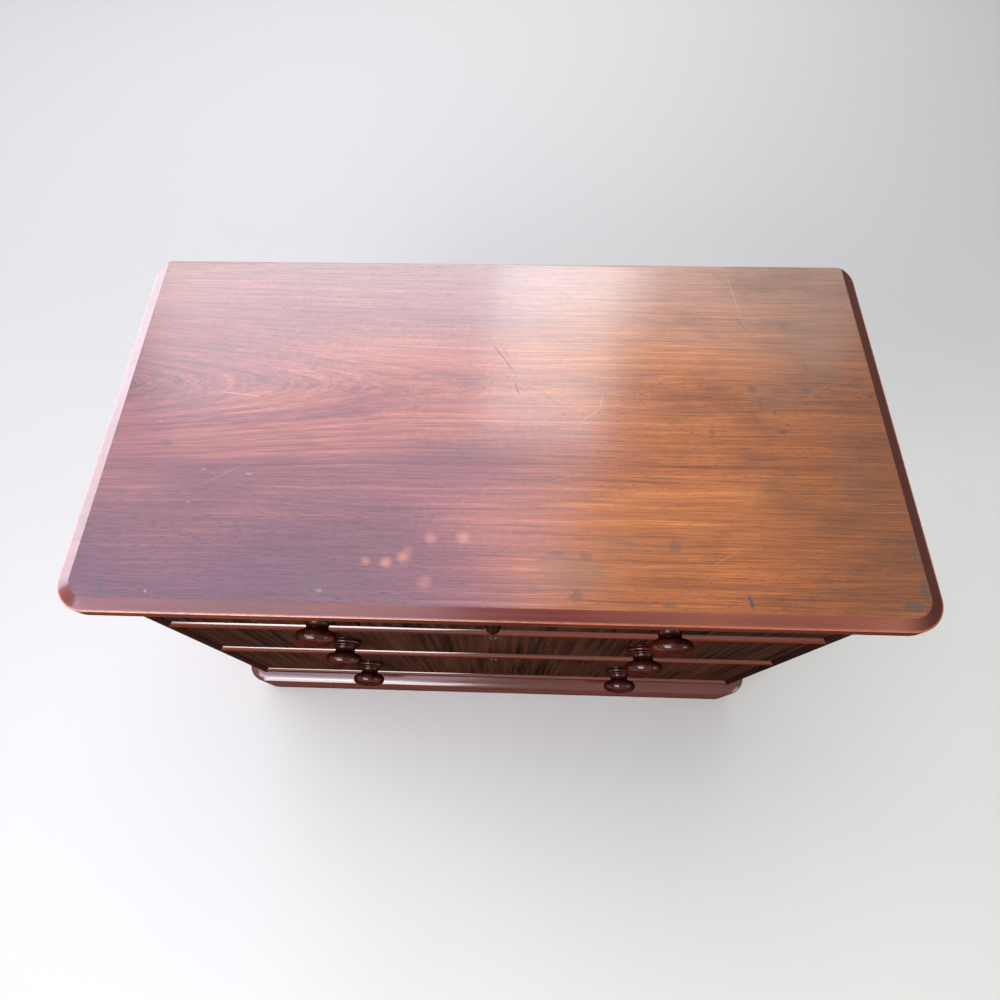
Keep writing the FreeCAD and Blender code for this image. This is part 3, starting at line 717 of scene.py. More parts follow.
@dataclass(frozen=True)
class TopPolish:
    """The marked and waxed mahogany of the top, with a painted sheen in its colour: its tones, places and
    marks, in millimetres.

    A stretch says how often noise changes in a millimetre: along the grain, and twice across it.
    Fields that end in side, front or ends hold where a soft step starts and where it ends, and
    then its two values if they aren't 0 and 1. A mark's look is its tone and how much of it shows.
    """

    # The rose tones hold the wood's redder colour and, in their purple cast, a painted sheen of cool light.
    rose_and_sheen_tones: tuple = (colour(94, 48, 56), colour(130, 72, 74), colour(172, 104, 86))
    gold_tones: tuple = (colour(122, 62, 24), colour(164, 94, 42), colour(196, 122, 58))
    bevel_tones: tuple = (colour(90, 30, 20), colour(116, 42, 28))
    bevel_dark: tuple = colour(70, 22, 3)
    bevel_pale: tuple = colour(158, 102, 80)
    # A painted highlight along the bevel's lower arris: pale pink on the left, where the light falls,
    # orange-brown on the right.
    arris_highlight_tones: tuple = (colour(220, 158, 136), colour(186, 106, 74))
    # A painted purple cast of the cool sheen, darker where that sheen fades at the left front.
    dim_sheen_tone: tuple = colour(78, 40, 70)
    # A painted pale sheen, growing towards the back of the top.
    pale_sheen_tone: tuple = colour(152, 122, 112)
    end_tone: tuple = colour(108, 64, 32)
    pore_tone: tuple = colour(70, 32, 38)
    stain_look: tuple = (colour(68, 62, 54), 0.72)
    # Painted glows: warm light laid into the colour over the middle of the top.
    painted_glow_look: tuple = (colour(212, 134, 98), 1.0)
    cloud_look: tuple = (colour(104, 88, 78), 0.55)
    drip_look: tuple = (colour(210, 138, 108), 0.62)
    pit_look: tuple = (colour(62, 42, 46), 0.65)
    pale_look: tuple = (colour(228, 206, 190), 0.34)
    upper: float = 685.0
    bevel_end: float = 680.3
    inner_low: tuple = (-445.5, -217.75, 600.0)
    inner_high: tuple = (445.5, 400.0, 760.0)
    arch_axis: float = 46.0
    arch_reach: float = -150.0
    arch_slope: float = 5.5
    arch_hollow: float = 30.0
    arch_pitch: float = 50.0
    arch_waver: float = 60.0
    gold_side: tuple = (20.0, 250.0)
    gold_waver: float = 160.0
    front_waver: float = 120.0
    end_waver: float = 140.0
    dull_and_dim_sheen_front: tuple = (60.0, -150.0)
    dull_and_dim_sheen_side: tuple = (80.0, -240.0)
    pale_sheen_ends: tuple = (110.0, 310.0, 0.0, 0.55)
    # Darker and browner towards the right end.
    darker_end_side: tuple = (300.0, 480.0, 0.0, 0.6)
    patch_side: tuple = (60.0, 380.0, 0.1, 0.6)
    grime_side: tuple = (100.0, 420.0, 0.2, 0.62)
    rubbed_side: tuple = (60.0, 260.0)
    dark_side: tuple = (400.0, 448.0)
    # Where the arris's painted highlight turns from pale pink to orange-brown.
    arris_highlight_side: tuple = (-300.0, 200.0)
    bare_side: tuple = (-80.0, 60.0)
    grime_width: float = 9.0
    line_stretch: tuple = (0.007, 0.42, 0.42)
    dash_stretch: tuple = (0.085, 1.0, 1.0)
    broad_stretch: tuple = (0.004, 0.011, 0.011)
    patch_stretch: tuple = (0.009, 0.016, 0.016)
    fine_stretch: float = 0.14
    roughness: float = 0.36
    coat_roughness: float = 0.17
    coat_index: float = 1.6
    stains: tuple = (
        Spot(371, 82, 7, 5), Spot(367, 50, 8, 5, 0.9), Spot(378, 41, 9, 4), Spot(357, 146, 9, 7, 0.4),
        Spot(303, 52, 7, 6), Spot(309, 33, 4, 9, 0.5), Spot(324, 19, 3, 3, 0.9), Spot(336, 2, 3, 3, 0.9),
        Spot(329, -7, 8, 4, 1.0), Spot(313, 38, 3, 2), Spot(441, -189, 5, 16, 0.9),
        Spot(427, -207, 14, 6, 0.9), Spot(441, -150, 3, 22, 0.6), Spot(-260, -214, 5, 2),
        Spot(-240, -215, 12, 2, 0.9), Spot(-212, -215, 9, 2, 0.9), Spot(-410, -210, 5, 14, 0.9),
        Spot(-361, -212, 5, 3), Spot(-381, -36, 8, 6, 0.5), Spot(-418, -99, 8, 5, 0.5),
        Spot(-360, -99, 11, 6, 0.4), Spot(-186, -196, 10, 6, 0.6), Spot(-170, -206, 9, 5, 0.5),
        Spot(67, -159, 11, 5, 0.6), Spot(97, -161, 9, 6, 0.5), Spot(87, -204, 9, 8, 0.7),
        Spot(42, -198, 9, 5, 0.4), Spot(110, -180, 10, 6, 0.4), Spot(193, -149, 9, 9, 0.6),
        Spot(180, -212, 10, 3, 0.8), Spot(50, -167, 8, 4, 0.4), Spot(-90, -214, 30, 2, 0.6),
        Spot(264, -206, 3, 9, 0.9), Spot(249, -9, 4, 8, 0.4), Spot(430, 60, 9, 16, 0.35),
        Spot(-444, 96, 4, 4, 0.7),
    )
    pits: tuple = (
        Spot(37, -48, 1.6, 1.4), Spot(18, -106, 1.6, 1.4), Spot(-71, -32, 1.5, 1.3),
        Spot(-18, -94, 1.6, 1.3), Spot(53, -80, 1.5, 1.3), Spot(49, 14, 1.8, 1.4), Spot(61, 34, 1.8, 1.6),
        Spot(26, -122, 1.6, 1.4), Spot(-311, 163, 1.5, 2), Spot(-296, 160, 2, 1.5),
        Spot(-276, 162, 1.6, 2), Spot(-252, 159, 2.2, 1.6), Spot(-230, 161, 2, 1.6),
        Spot(-206, 152, 2.4, 1.6), Spot(141, 10, 2, 1.6), Spot(-150, 192, 1.8, 1.5),
    )
    drips: tuple = (
        Spot(-134, -172, 8, 7, 0.6), Spot(-113, -173, 10, 9, 0.8), Spot(-95, -167, 11, 9, 0.75),
        Spot(-67, -145, 10, 9, 0.6), Spot(-32, -144, 11, 10, 0.8), Spot(-71, -194, 12, 12, 0.4),
        Spot(-91, -160, 8, 7, 0.35),
    )
    clouds: tuple = (
        Spot(84, -182, 64, 40, 0.85), Spot(140, -150, 46, 26, 0.4), Spot(-180, -200, 60, 20, 0.3),
        Spot(-370, -90, 40, 22, 0.25), Spot(330, 40, 50, 34, 0.45), Spot(395, 110, 50, 60, 0.45),
        Spot(400, -60, 40, 70, 0.3),
    )
    painted_glows: tuple = (
        Spot(-110, 88, 260, 70, 0.4), Spot(-20, 16, 170, 60, 0.35), Spot(-250, 30, 150, 30, 0.2),
        Spot(10, -120, 120, 60, 0.25),
    )
    chips: tuple = (
        Spot(-396, -7, 4, 1.2, 0.5), Spot(-331, -68, 3.5, 1.5, 0.5), Spot(-278, -73, 4.5, 1.6, 0.5),
        Spot(-339, -109, 3, 1.2, 0.4), Spot(-361, -210, 1.6, 2.2, 0.6), Spot(-180, -205, 5, 3, 0.4),
    )
    cuts: tuple = (
        Stroke(((-6, 110), (10, 86), (19, 72)), 3.2, 0.85), Stroke(((21, 56), (27, 38)), 3.0, 0.8),
        Stroke(((2, 112), (22, 76)), 1.4, 0.5), Stroke(((9, 65), (57, 38), (75, 24)), 1.3, 0.45),
        Stroke(((75, 24), (86, 4), (81, -38)), 1.2, 0.35), Stroke(((64, 126), (80, 117)), 1.4, 0.6),
        Stroke(((-56, 208), (-49, 203)), 2.2, 0.7), Stroke(((297, 159), (308, 136)), 1.8, 0.7),
        Stroke(((261, -198), (266, -215)), 2.6, 0.8), Stroke(((312, -17), (314, -55)), 1.5, 0.4),
        Stroke(((-458, 188), (-430, 186)), 1.0, 0.5), Stroke(((-236, 241), (-262, 150)), 1.2, 0.3),
    )
    rubs: tuple = (
        Stroke(((-328, 35), (-310, 33), (-284, 30)), 1.4, 0.9),
        Stroke(((100, 3), (121, 20), (126, 39)), 1.3, 0.45), Stroke(((61, -76), (98, -65)), 1.1, 0.35),
        Stroke(((294, 235), (304, 160)), 1.6, 0.35), Stroke(((-284, -60), (-330, -88)), 0.9, 0.35),
        Stroke(((228, -170), (262, -150)), 0.9, 0.4),
    )

    def material(self, effects: Effects) -> bpy.types.Material:
        """Makes the top's finish."""
        return TopPainter(self, effects).paint()


class TopPainter:
    """Paints the top's finish in layers: the wood with a painted sheen, its age, its grain, the marks with
    painted glows, and the bevel with a painted arris highlight.
    """

    def __init__(self, finish: TopPolish, effects: Effects) -> None:
        """Starts the material and works out what several layers share.

        Args:
            finish: The tones, places and marks.
            effects: The shared effects.
        """
        self.finish = finish
        self.effects = effects
        self.material, graph, self.shader, self.position = dressed_shader("top_polish")
        self.graph = graph
        self.x, self.y, self.z = graph.split(self.position)
        self.arch = graph.use(effects.arch, Position=self.position, Axis=finish.arch_axis,
                              Reach=finish.arch_reach, Slope=finish.arch_slope, Hollow=finish.arch_hollow,
                              Pitch=finish.arch_pitch, Waver=finish.arch_waver, Seed=17.0)
        self.place = graph.join(self.x, self.arch["Flow"], graph.times(self.arch["Away"], 0.3))
        self.wood = graph.use(effects.grain, Position=self.place, Seed=3.0)
        self.lines = graph.noise(self.place, finish.line_stretch, 3.0, 0.65)
        self.broad = graph.noise(self.position, finish.broad_stretch, 1.0, 0.5)
        self.fine = graph.noise(self.position, finish.fine_stretch, 3.0, 0.6)
        self.ragged = graph.fused(self.fine, 1.1, -0.55)
        # This mask at the left front both thickens the dark dashes and lays the painted purple cast of the
        # fading sheen.
        front = graph.remap(graph.fused(self.broad, finish.front_waver, self.y), *finish.dull_and_dim_sheen_front)
        self.dull = graph.times(front, graph.remap(self.x, *finish.dull_and_dim_sheen_side))

    def board(self) -> Socket:
        """The wood's tone: rosy on the left, which is partly a painted lavender sheen, and golden on the
        right.

        The figure is the growth rings' tone less their band, long streaks, fine lines and broad
        clouds added up, and it picks a tone from dark over middle to light.

        Returns:
            The colour.
        """
        graph = self.graph
        figure = graph.fused(self.arch["Tone"], 0.22, 0.2)
        figure = graph.fused(self.arch["Band"], -0.14, figure)
        figure = graph.fused(graph.remap(self.wood["Streaks"], 0.28, 0.72), 0.2, figure)
        figure = graph.fused(graph.remap(self.lines, 0.34, 0.66), 0.22, figure)
        figure = graph.fused(graph.remap(self.broad, 0.3, 0.7), 0.2, figure)
        # The left's rose tones carry a painted sheen of cool light; the right's gold tones are the wood's
        # own.
        side = graph.remap(graph.fused(self.broad, self.finish.gold_waver, self.x), *self.finish.gold_side)
        dark, middle, light = [graph.tint(side, *pair)
                               for pair in zip(self.finish.rose_and_sheen_tones, self.finish.gold_tones)]
        shade = graph.tint(graph.remap(figure, 0.1, 0.55), dark, middle)
        return graph.tint(graph.remap(figure, 0.5, 1.0), shade, light)

    def aged(self, shade: Socket) -> Socket:
        """Ages the wood and paints sheen into it: a darker purple cast where the sheen fades at the left
        front, a pale sheen towards the back, and browner on the right.

        Args:
            shade: The colour so far.

        Returns:
            The aged colour.
        """
        graph, finish = self.graph, self.finish
        # Painted sheen: a darker purple cast where the cool reflection fades at the left front.
        shade = graph.tint(graph.times(self.dull, 0.8), shade, finish.dim_sheen_tone)
        # Painted sheen: paler towards the back, where the reflection grows brighter.
        pale_sheen = graph.remap(graph.fused(self.broad, finish.front_waver, self.y), *finish.pale_sheen_ends)
        shade = graph.tint(pale_sheen, shade, finish.pale_sheen_tone)
        # Darker and browner towards the right end.
        worn = graph.remap(graph.fused(self.broad, finish.end_waver, self.x), *finish.darker_end_side)
        shade = graph.tint(worn, shade, finish.end_tone)
        patches = graph.remap(graph.noise(self.position, finish.patch_stretch, 4.0, 0.62), 0.46, 0.66)
        patches = graph.times(patches, graph.remap(self.x, *finish.patch_side))
        return graph.tint(patches, shade, finish.end_tone)

    def grained(self, shade: Socket) -> Socket:
        """Lays fibres, pores and, where the polish is dull, dark dashes on the wood.

        Args:
            shade: The colour so far.

        Returns:
            The colour with its grain.
        """
        graph, finish = self.graph, self.finish
        shade = graph.shaded(shade, graph.remap(self.wood["Fibres"], 0.32, 0.68, 0.7, 1.18))
        pores = graph.times(self.wood["Pores"], graph.remap(self.broad, 0.3, 0.7, 0.8, 0.4))
        shade = graph.tint(pores, shade, finish.pore_tone)
        dashes = graph.remap(graph.noise(self.place, finish.dash_stretch, 1.0, 0.5), 0.56, 0.66)
        dashes = graph.times(dashes, graph.remap(self.dull, 0.0, 0.7, 0.1, 0.85))
        return graph.tint(dashes, shade, finish.pore_tone)

    def spots(self, marks: tuple, softness: float = 0.55, raggedness: float = 1.0) -> Value:
        """The mask of several spots: the strongest of them at each place.

        Args:
            marks: The spots.
            softness: The share of a spot over which it fades.
            raggedness: How ragged the rims are.

        Returns:
            The mask.
        """
        graph = self.graph
        ragged = self.ragged if raggedness == 1.0 else graph.times(self.ragged, raggedness)
        mask = 0.0
        for mark in marks:
            spot = graph.use(self.effects.spot, Position=self.position,
                             Centre=(mark.x, mark.y, self.finish.upper),
                             Size=(mark.across, mark.deep, MARK_DEPTH), Softness=softness, Ragged=ragged)
            mask = graph.most(graph.times(spot["Mask"], mark.strength), mask)
        return mask

    def strokes(self, marks: tuple) -> Value:
        """The mask of several scratches, each a chain of straight strokes.

        Args:
            marks: The scratches.

        Returns:
            The mask.
        """
        graph = self.graph
        level = (self.finish.upper,)
        mask = 0.0
        for mark in marks:
            for start, finish in zip(mark.points, mark.points[1:]):
                line = graph.use(self.effects.stroke, Position=self.position, Start=start + level,
                                 Finish=finish + level, Width=mark.width)
                mask = graph.most(graph.times(line["Mask"], mark.strength), mask)
        return mask

    def marked(self, shade: Socket) -> tuple[Socket, Socket]:
        """Lays the marks of use on the wood, from stains over clouds to scratches, and painted glows of warm
        light.

        Args:
            shade: The colour so far.

        Returns:
            The marked colour, and how much dull dirt there is.
        """
        graph, finish = self.graph, self.finish
        edge = graph.use(self.effects.edge, Position=self.position, Low=finish.inner_low,
                         High=finish.inner_high, Width=finish.grime_width, Ragged=self.fine)
        grime = graph.times(edge["Wear"], graph.remap(self.x, *finish.grime_side))
        stains = graph.most(self.spots(finish.stains), grime)
        # Painted glows of warm light, brighter along the grain's fine lines.
        painted_glows = graph.times(self.spots(finish.painted_glows, 1.0), graph.remap(self.lines, 0.36, 0.6, 0.45, 1.0))
        pits = graph.most(self.spots(finish.pits), self.strokes(finish.cuts))
        pale = graph.most(self.spots(finish.chips), self.strokes(finish.rubs))
        layers = ((stains, finish.stain_look), (painted_glows, finish.painted_glow_look),
                  (self.spots(finish.clouds, 1.0), finish.cloud_look),
                  (self.spots(finish.drips, 0.95, 0.4), finish.drip_look),
                  (pits, finish.pit_look), (pale, finish.pale_look))
        for mask, (tone, share) in layers:
            shade = graph.tint(graph.times(mask, share), shade, tone)
        return shade, graph.most(stains, pits)

    def edged(self, shade: Socket) -> tuple[Socket, Socket]:
        """Lays the bevel's darker polish and a painted highlight along the arris round the wood.

        The bevel is what lies under the flat. Its polish is rubbed pale towards the right of
        the front, and dark at the right end. The arris is a narrow band of heights, where a highlight
        is painted: pale pink on the left, where the light falls, and orange-brown on the right.

        Args:
            shade: The colour so far.

        Returns:
            The colour, and the mask of the bevel's bare part on the right.
        """
        graph, finish = self.graph, self.finish
        bevel = graph.remap(self.z, finish.upper - 0.05, finish.upper - 0.45)
        polish = graph.tint(graph.remap(self.wood["Streaks"], 0.3, 0.7), *finish.bevel_tones)
        rubbed = graph.times(graph.remap(self.x, *finish.rubbed_side),
                             graph.remap(self.broad, 0.3, 0.6, 0.5, 1.0))
        polish = graph.tint(graph.times(rubbed, 0.7), polish, finish.bevel_pale)
        polish = graph.tint(graph.remap(self.x, *finish.dark_side), polish, finish.bevel_dark)
        shade = graph.tint(bevel, shade, polish)
        low = graph.remap(self.z, finish.bevel_end - 2.6, finish.bevel_end - 1.2)
        high = graph.remap(self.z, finish.bevel_end + 0.1, finish.bevel_end + 0.9, 1.0, 0.0)
        arris = graph.times(graph.times(low, high), graph.remap(self.fine, 0.3, 0.6, 0.6, 1.0))
        # worn is the arris's painted highlight, pale pink on the left and orange-brown on the right.
        worn = graph.tint(graph.remap(self.x, *finish.arris_highlight_side), *finish.arris_highlight_tones)
        bare = graph.times(bevel, graph.remap(self.x, *finish.bare_side))
        return graph.tint(arris, shade, worn), bare

    def paint(self) -> bpy.types.Material:
        """Lays all the layers, roughens the dirt and takes the coat off the bare bevel.

        Returns:
            The material.
        """
        graph, finish, shader = self.graph, self.finish, self.shader
        shade, dirt = self.marked(self.grained(self.aged(self.board())))
        shade, bare = self.edged(shade)
        rough = graph.fused(self.broad, 0.2, finish.roughness - 0.1)
        graph.feed(shader.inputs["Base Color"], shade)
        graph.feed(shader.inputs["Roughness"], graph.fused(dirt, 0.3, rough, clamp=True))
        graph.feed(shader.inputs["Coat Weight"], graph.fused(bare, -0.9, 1.0))
        set_plain(shader, Coat_Roughness=finish.coat_roughness, Coat_IOR=finish.coat_index)
        bump(graph, shader, graph.fused(self.wood["Pores"], -0.8, self.wood["Fibres"]), 0.6, 0.14)
        return self.material


@dataclass(frozen=True)
class MetalFinish:
    """A plain metal with its tarnish."""

    name: str
    clean: tuple
    tarnish: tuple
    roughness: float = 0.35

    def material(self, effects: Effects) -> bpy.types.Material:
        """Makes the metal: clean where it is rubbed, dull and darker where it is tarnished.

        Args:
            effects: The shared effects.

        Returns:
            The material.
        """
        material, graph, shader, position = dressed_shader(self.name)
        dust = graph.use(effects.dust, Position=graph.scaled(position, 9.0), Amount=1.0)
        lines = graph.noise(position, (0.2, 6.0, 3.0), 2.0, 0.6)
        shade = graph.tint(dust["Smudge"], self.clean, self.tarnish)
        shade = graph.tint(graph.times(dust["Mask"], 0.6), shade, self.tarnish)
        graph.feed(shader.inputs["Base Color"], shade)
        roughness = graph.fused(dust["Smudge"], 0.25, self.roughness)
        graph.feed(shader.inputs["Roughness"], graph.fused(lines, 0.1, roughness))
        set_plain(shader, Metallic=1.0)
        bump(graph, shader, lines, 0.3, 0.03)
        return material


@dataclass(frozen=True)
class Dress:
    """Puts finished pieces where the frame has them."""

    effects: Effects

    def piece(self, shell: Shell, name: str, node: str, body: str, slot: str,
              material: bpy.types.Material, crease: float = 32.0) -> bpy.types.Object:
        """Builds a piece that stands for a node of the frame.

        Args:
            shell: The piece's surface.
            name: The piece's name.
            node: The node that it replaces.
            body: The body that it rides on.
            slot: The record's slot of its finish; it is not used.
            material: Its finish.
            crease: Edges that turn by more degrees than this stay sharp.

        Returns:
            The piece.
        """
        made = shell.build(name, crease)
        made.data.materials.append(material)
        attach(made, body)
        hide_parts(node)
        log.info("%s stands for %s, with %d faces", name, node, len(made.data.polygons))
        return made

    @staticmethod
    def sort_faces(made: bpy.types.Object) -> None:
        """Gives upright faces the second material and those that look down the third.

        Args:
            made: The piece.
        """
        polygons = made.data.polygons
        normals = np.empty(len(polygons) * 3)
        polygons.foreach_get("normal", normals)
        upward = normals.reshape(-1, 3)[:, 2]
        places = np.where(upward < LOOKS_DOWN, 2, np.where(upward < LOOKS_ASIDE, 1, 0)).astype(np.int32)
        polygons.foreach_set("material_index", places)
        made.data.update()

    @staticmethod
    def cover(node: str, material: bpy.types.Material) -> None:
        """Gives a node of the frame its finish.

        Args:
            node: The node's name.
            material: The finish.
        """
        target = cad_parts[node]
        target.data.materials.clear()
        target.data.materials.append(material)
        log.info("%s wears %s", node, material.name)

    def board(self, node: str, finish: WoodFinish, grain: Grain, seed: float) -> None:
        """Gives a board of the frame its wood, with wear along the board's own arrises.

        Args:
            node: The node's name.
            finish: The wood.
            grain: The way of its grain.
            seed: Shifts the figure.
        """
        low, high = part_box(node)
        limits = (tuple(low / MM), tuple(high / MM))
        self.cover(node, finish.material(self.effects, grain, seed, limits))


@dataclass(frozen=True)
class TopBoard:
    """The bevelled top board with its round corners, in millimetres."""

    half_width: float = 460.0
    front: float = -232.25
    back: float = 241.75
    upper: float = 685.0
    lower: float = 664.0
    front_radius: float = 36.0
    rear_radius: float = 22.0
    bevel_width: float = 14.5
    bevel_drop: float = 4.7
    arris: float = 1.2
    ring_points: int = 41
    arris_rows: int = 6
    edge_rows: tuple = (2.0, 4.0, 7.0, 10.0, 13.0, 14.0, 14.5, 15.0, 16.0, 18.0, 20.0, 21.9)
    inner_start: float = 24.0
    inner_rows: int = 40

    def level(self, inset: np.ndarray) -> np.ndarray:
        """The height of the upper face: it falls evenly outside the bevel's inner line."""
        share = np.clip((self.bevel_width - inset) / self.bevel_width, 0.0, 1.0)
        return self.upper - self.bevel_drop * share

    def rear_end(self, inset: np.ndarray, pull: float) -> tuple[np.ndarray, np.ndarray]:
        """Where the ring at an inset meets the rear outline, drawn in by a pull.

        On the rear corner's arc the point has the ring's own distance from the middle line, and
        behind the straight back its y is the back's.

        Args:
            inset: The ring's inset from the ends.
            pull: How far the outline is drawn in.

        Returns:
            The distance from the middle line and the y of the point.
        """
        centre = self.half_width - self.rear_radius
        reach = self.rear_radius - self.arris
        share = np.clip((self.half_width - inset - centre) / reach, 0.0, 1.0)
        turn = np.arccos(share)
        on_arc = inset < self.rear_radius
        radius = self.rear_radius - pull
        x = np.where(on_arc, centre + radius * np.cos(turn), self.half_width - inset)
        y = np.where(on_arc, self.back - self.rear_radius + radius * np.sin(turn), self.back - pull)
        return x, y

    def ring(self, inset: np.ndarray, rear_x: np.ndarray, rear_y: np.ndarray) -> np.ndarray:
        """The plan of rings at several insets, from the right rear end round to the left.

        A ring runs forward along the end, round the front corner on an arc whose radius is the
        corner's less the inset, and along the front to the middle. Its other half is mirrored.

        Args:
            inset: The insets, one for each ring.
            rear_x: Where each ring starts, from the middle line.
            rear_y: The y of that start.

        Returns:
            The plan points, rings by points by two.
        """
        radius = np.maximum(self.front_radius - inset, 0.0)
        side = self.half_width - inset
        nose = self.front + inset
        share = np.linspace(0.0, 1.0, self.ring_points)[None, :]
        turn = share * math.pi / 2
        leg_x = rear_x[:, None] + (side - rear_x)[:, None] * share ** 0.5
        leg_y = rear_y[:, None] + (nose + radius - rear_y)[:, None] * share
        corner_x = (side - radius)[:, None] + radius[:, None] * np.cos(turn)
        corner_y = (nose + radius)[:, None] - radius[:, None] * np.sin(turn)
        front_x = (side - radius)[:, None] * (1.0 - share)
        front_y = nose[:, None] + 0.0 * share
        x = np.concatenate([leg_x, corner_x[:, 1:], front_x[:, 1:]], axis=1)
        y = np.concatenate([leg_y, corner_y[:, 1:], front_y[:, 1:]], axis=1)
        half = np.stack([x, y], axis=-1)
        other = half[:, -2::-1] * np.array([-1.0, 1.0])
        return np.concatenate([half, other], axis=1)

    def shell(self) -> Shell:
        """Works out the closed surface.

        The wall's rows follow a rounded arris, the edge and the lower arris. Each row is a ring
        at the row's pull, at a height that is a share of the board's thickness there. The upper
        and lower faces are rings at growing insets, down to the middle line, and the back is
        one strip whose columns are the rings' rear ends.

        Returns:
            The surface.
        """
        shell = Shell()
        turns = np.linspace(0.0, math.pi / 2, self.arris_rows)
        curve_pull = self.arris * (1.0 - np.sin(turns))
        curve_fall = self.arris * (1.0 - np.cos(turns))
        thickness = self.level(np.array([self.arris]))[0] - self.lower
        pull = np.concatenate([curve_pull, curve_pull[::-1]])
        fall = np.concatenate([curve_fall, thickness - curve_fall[::-1]]) / thickness
        inner = np.linspace(self.inner_start, self.half_width, self.inner_rows)
        inset = np.concatenate([[self.arris], self.edge_rows, inner])
        rear_x, rear_y = self.rear_end(inset, self.arris)
        plan = self.ring(inset, rear_x, rear_y)
        height = self.level(inset)
        for level in (height[:, None], np.full_like(height, self.lower)[:, None]):
            shell.sheet(points_from(plan[..., 0], plan[..., 1], level))
        start = self.level(np.array([self.arris]))[0]
        wall_x = self.half_width - pull
        wall_y = np.full_like(pull, self.back - self.rear_radius)
        wall = self.ring(pull, wall_x, wall_y)
        shell.sheet(points_from(wall[..., 0], wall[..., 1], (start - fall * thickness)[:, None]))
        ends = [self.rear_end(inset, row) for row in pull]
        back_x = np.stack([end[0] for end in ends])
        back_y = np.stack([end[1] for end in ends])
        back_z = height[None, :] - fall[:, None] * (height[None, :] - self.lower)
        for side in (1.0, -1.0):
            shell.sheet(points_from(side * back_x, back_y, back_z))
        return shell


@dataclass(frozen=True)
class Section:
    """The half-round section of a facing: how far across, and how deep, each point lies."""

    half_width: float
    nose: float
    spring: float
    back: float
    count: int = 25

    def across(self) -> np.ndarray:
        """Offsets from the middle, closer together towards the edges."""
        return self.half_width * np.sin(np.linspace(-math.pi / 2, math.pi / 2, self.count))

    def depth(self) -> np.ndarray:
        """The y of the front curve, an arc through the nose and both springing points.

        The radius is the half width squared plus the rise squared, over twice the rise.

        Returns:
            The y at each offset.
        """
        rise = self.spring - self.nose
        radius = (self.half_width ** 2 + rise ** 2) / (2 * rise)
        return self.nose + radius - np.sqrt(np.maximum(radius ** 2 - self.across() ** 2, 0.0))


@dataclass(frozen=True)
class Span:
    """A stretch of a facing between two ends that follow the section."""

    low: np.ndarray
    high: np.ndarray
    low_closed: np.ndarray
    high_closed: np.ndarray


def facing_shell(section: Section, spans: list[Span], centre: float, level: bool, columns: int = 9) -> Shell:
    """The surface of a facing: its section carried along each span.

    A point of the span lies at its low end plus a share of the way to its high end, where both
    ends depend on how far across the section the point is. Ends are closed by a sheet from the
    front curve to the back.

    Args:
        section: The section.
        spans: The stretches, which meet where their ends are equal.
        centre: Where the middle of the facing lies, across its length.
        level: Whether the facing lies along a rail, or stands along a stile.
        columns: The number of points along a span.

    Returns:
        The surface.
    """
    shell = Shell()
    across = section.across()[:, None] + centre
    front = section.depth()[:, None]
    back = np.full_like(front, section.back)
    share = np.linspace(0.0, 1.0, columns)[None, :]

    def put(offset: np.ndarray, depth: np.ndarray, along: np.ndarray) -> None:
        """Adds a sheet, with its length along x or along z.

        Args:
            offset: The place across the facing.
            depth: The y.
            along: The place along the facing.
        """
        if level:
            shell.sheet(points_from(along, depth, offset))
        else:
            shell.sheet(points_from(offset, depth, along))

    for span in spans:
        along = span.low[:, None] + (span.high - span.low)[:, None] * share
        put(across, front, along)
        put(across, back, along)
        for row in (0, -1):
            put(across[row], np.array([front[row], back[row]]), along[row][None, :])
        for end, closed in ((span.low, span.low_closed), (span.high, span.high_closed)):
            rows = np.nonzero(closed)[0]
            if len(rows):
                put(across[rows], np.hstack([front[rows], back[rows]]), end[rows][:, None])
    return shell


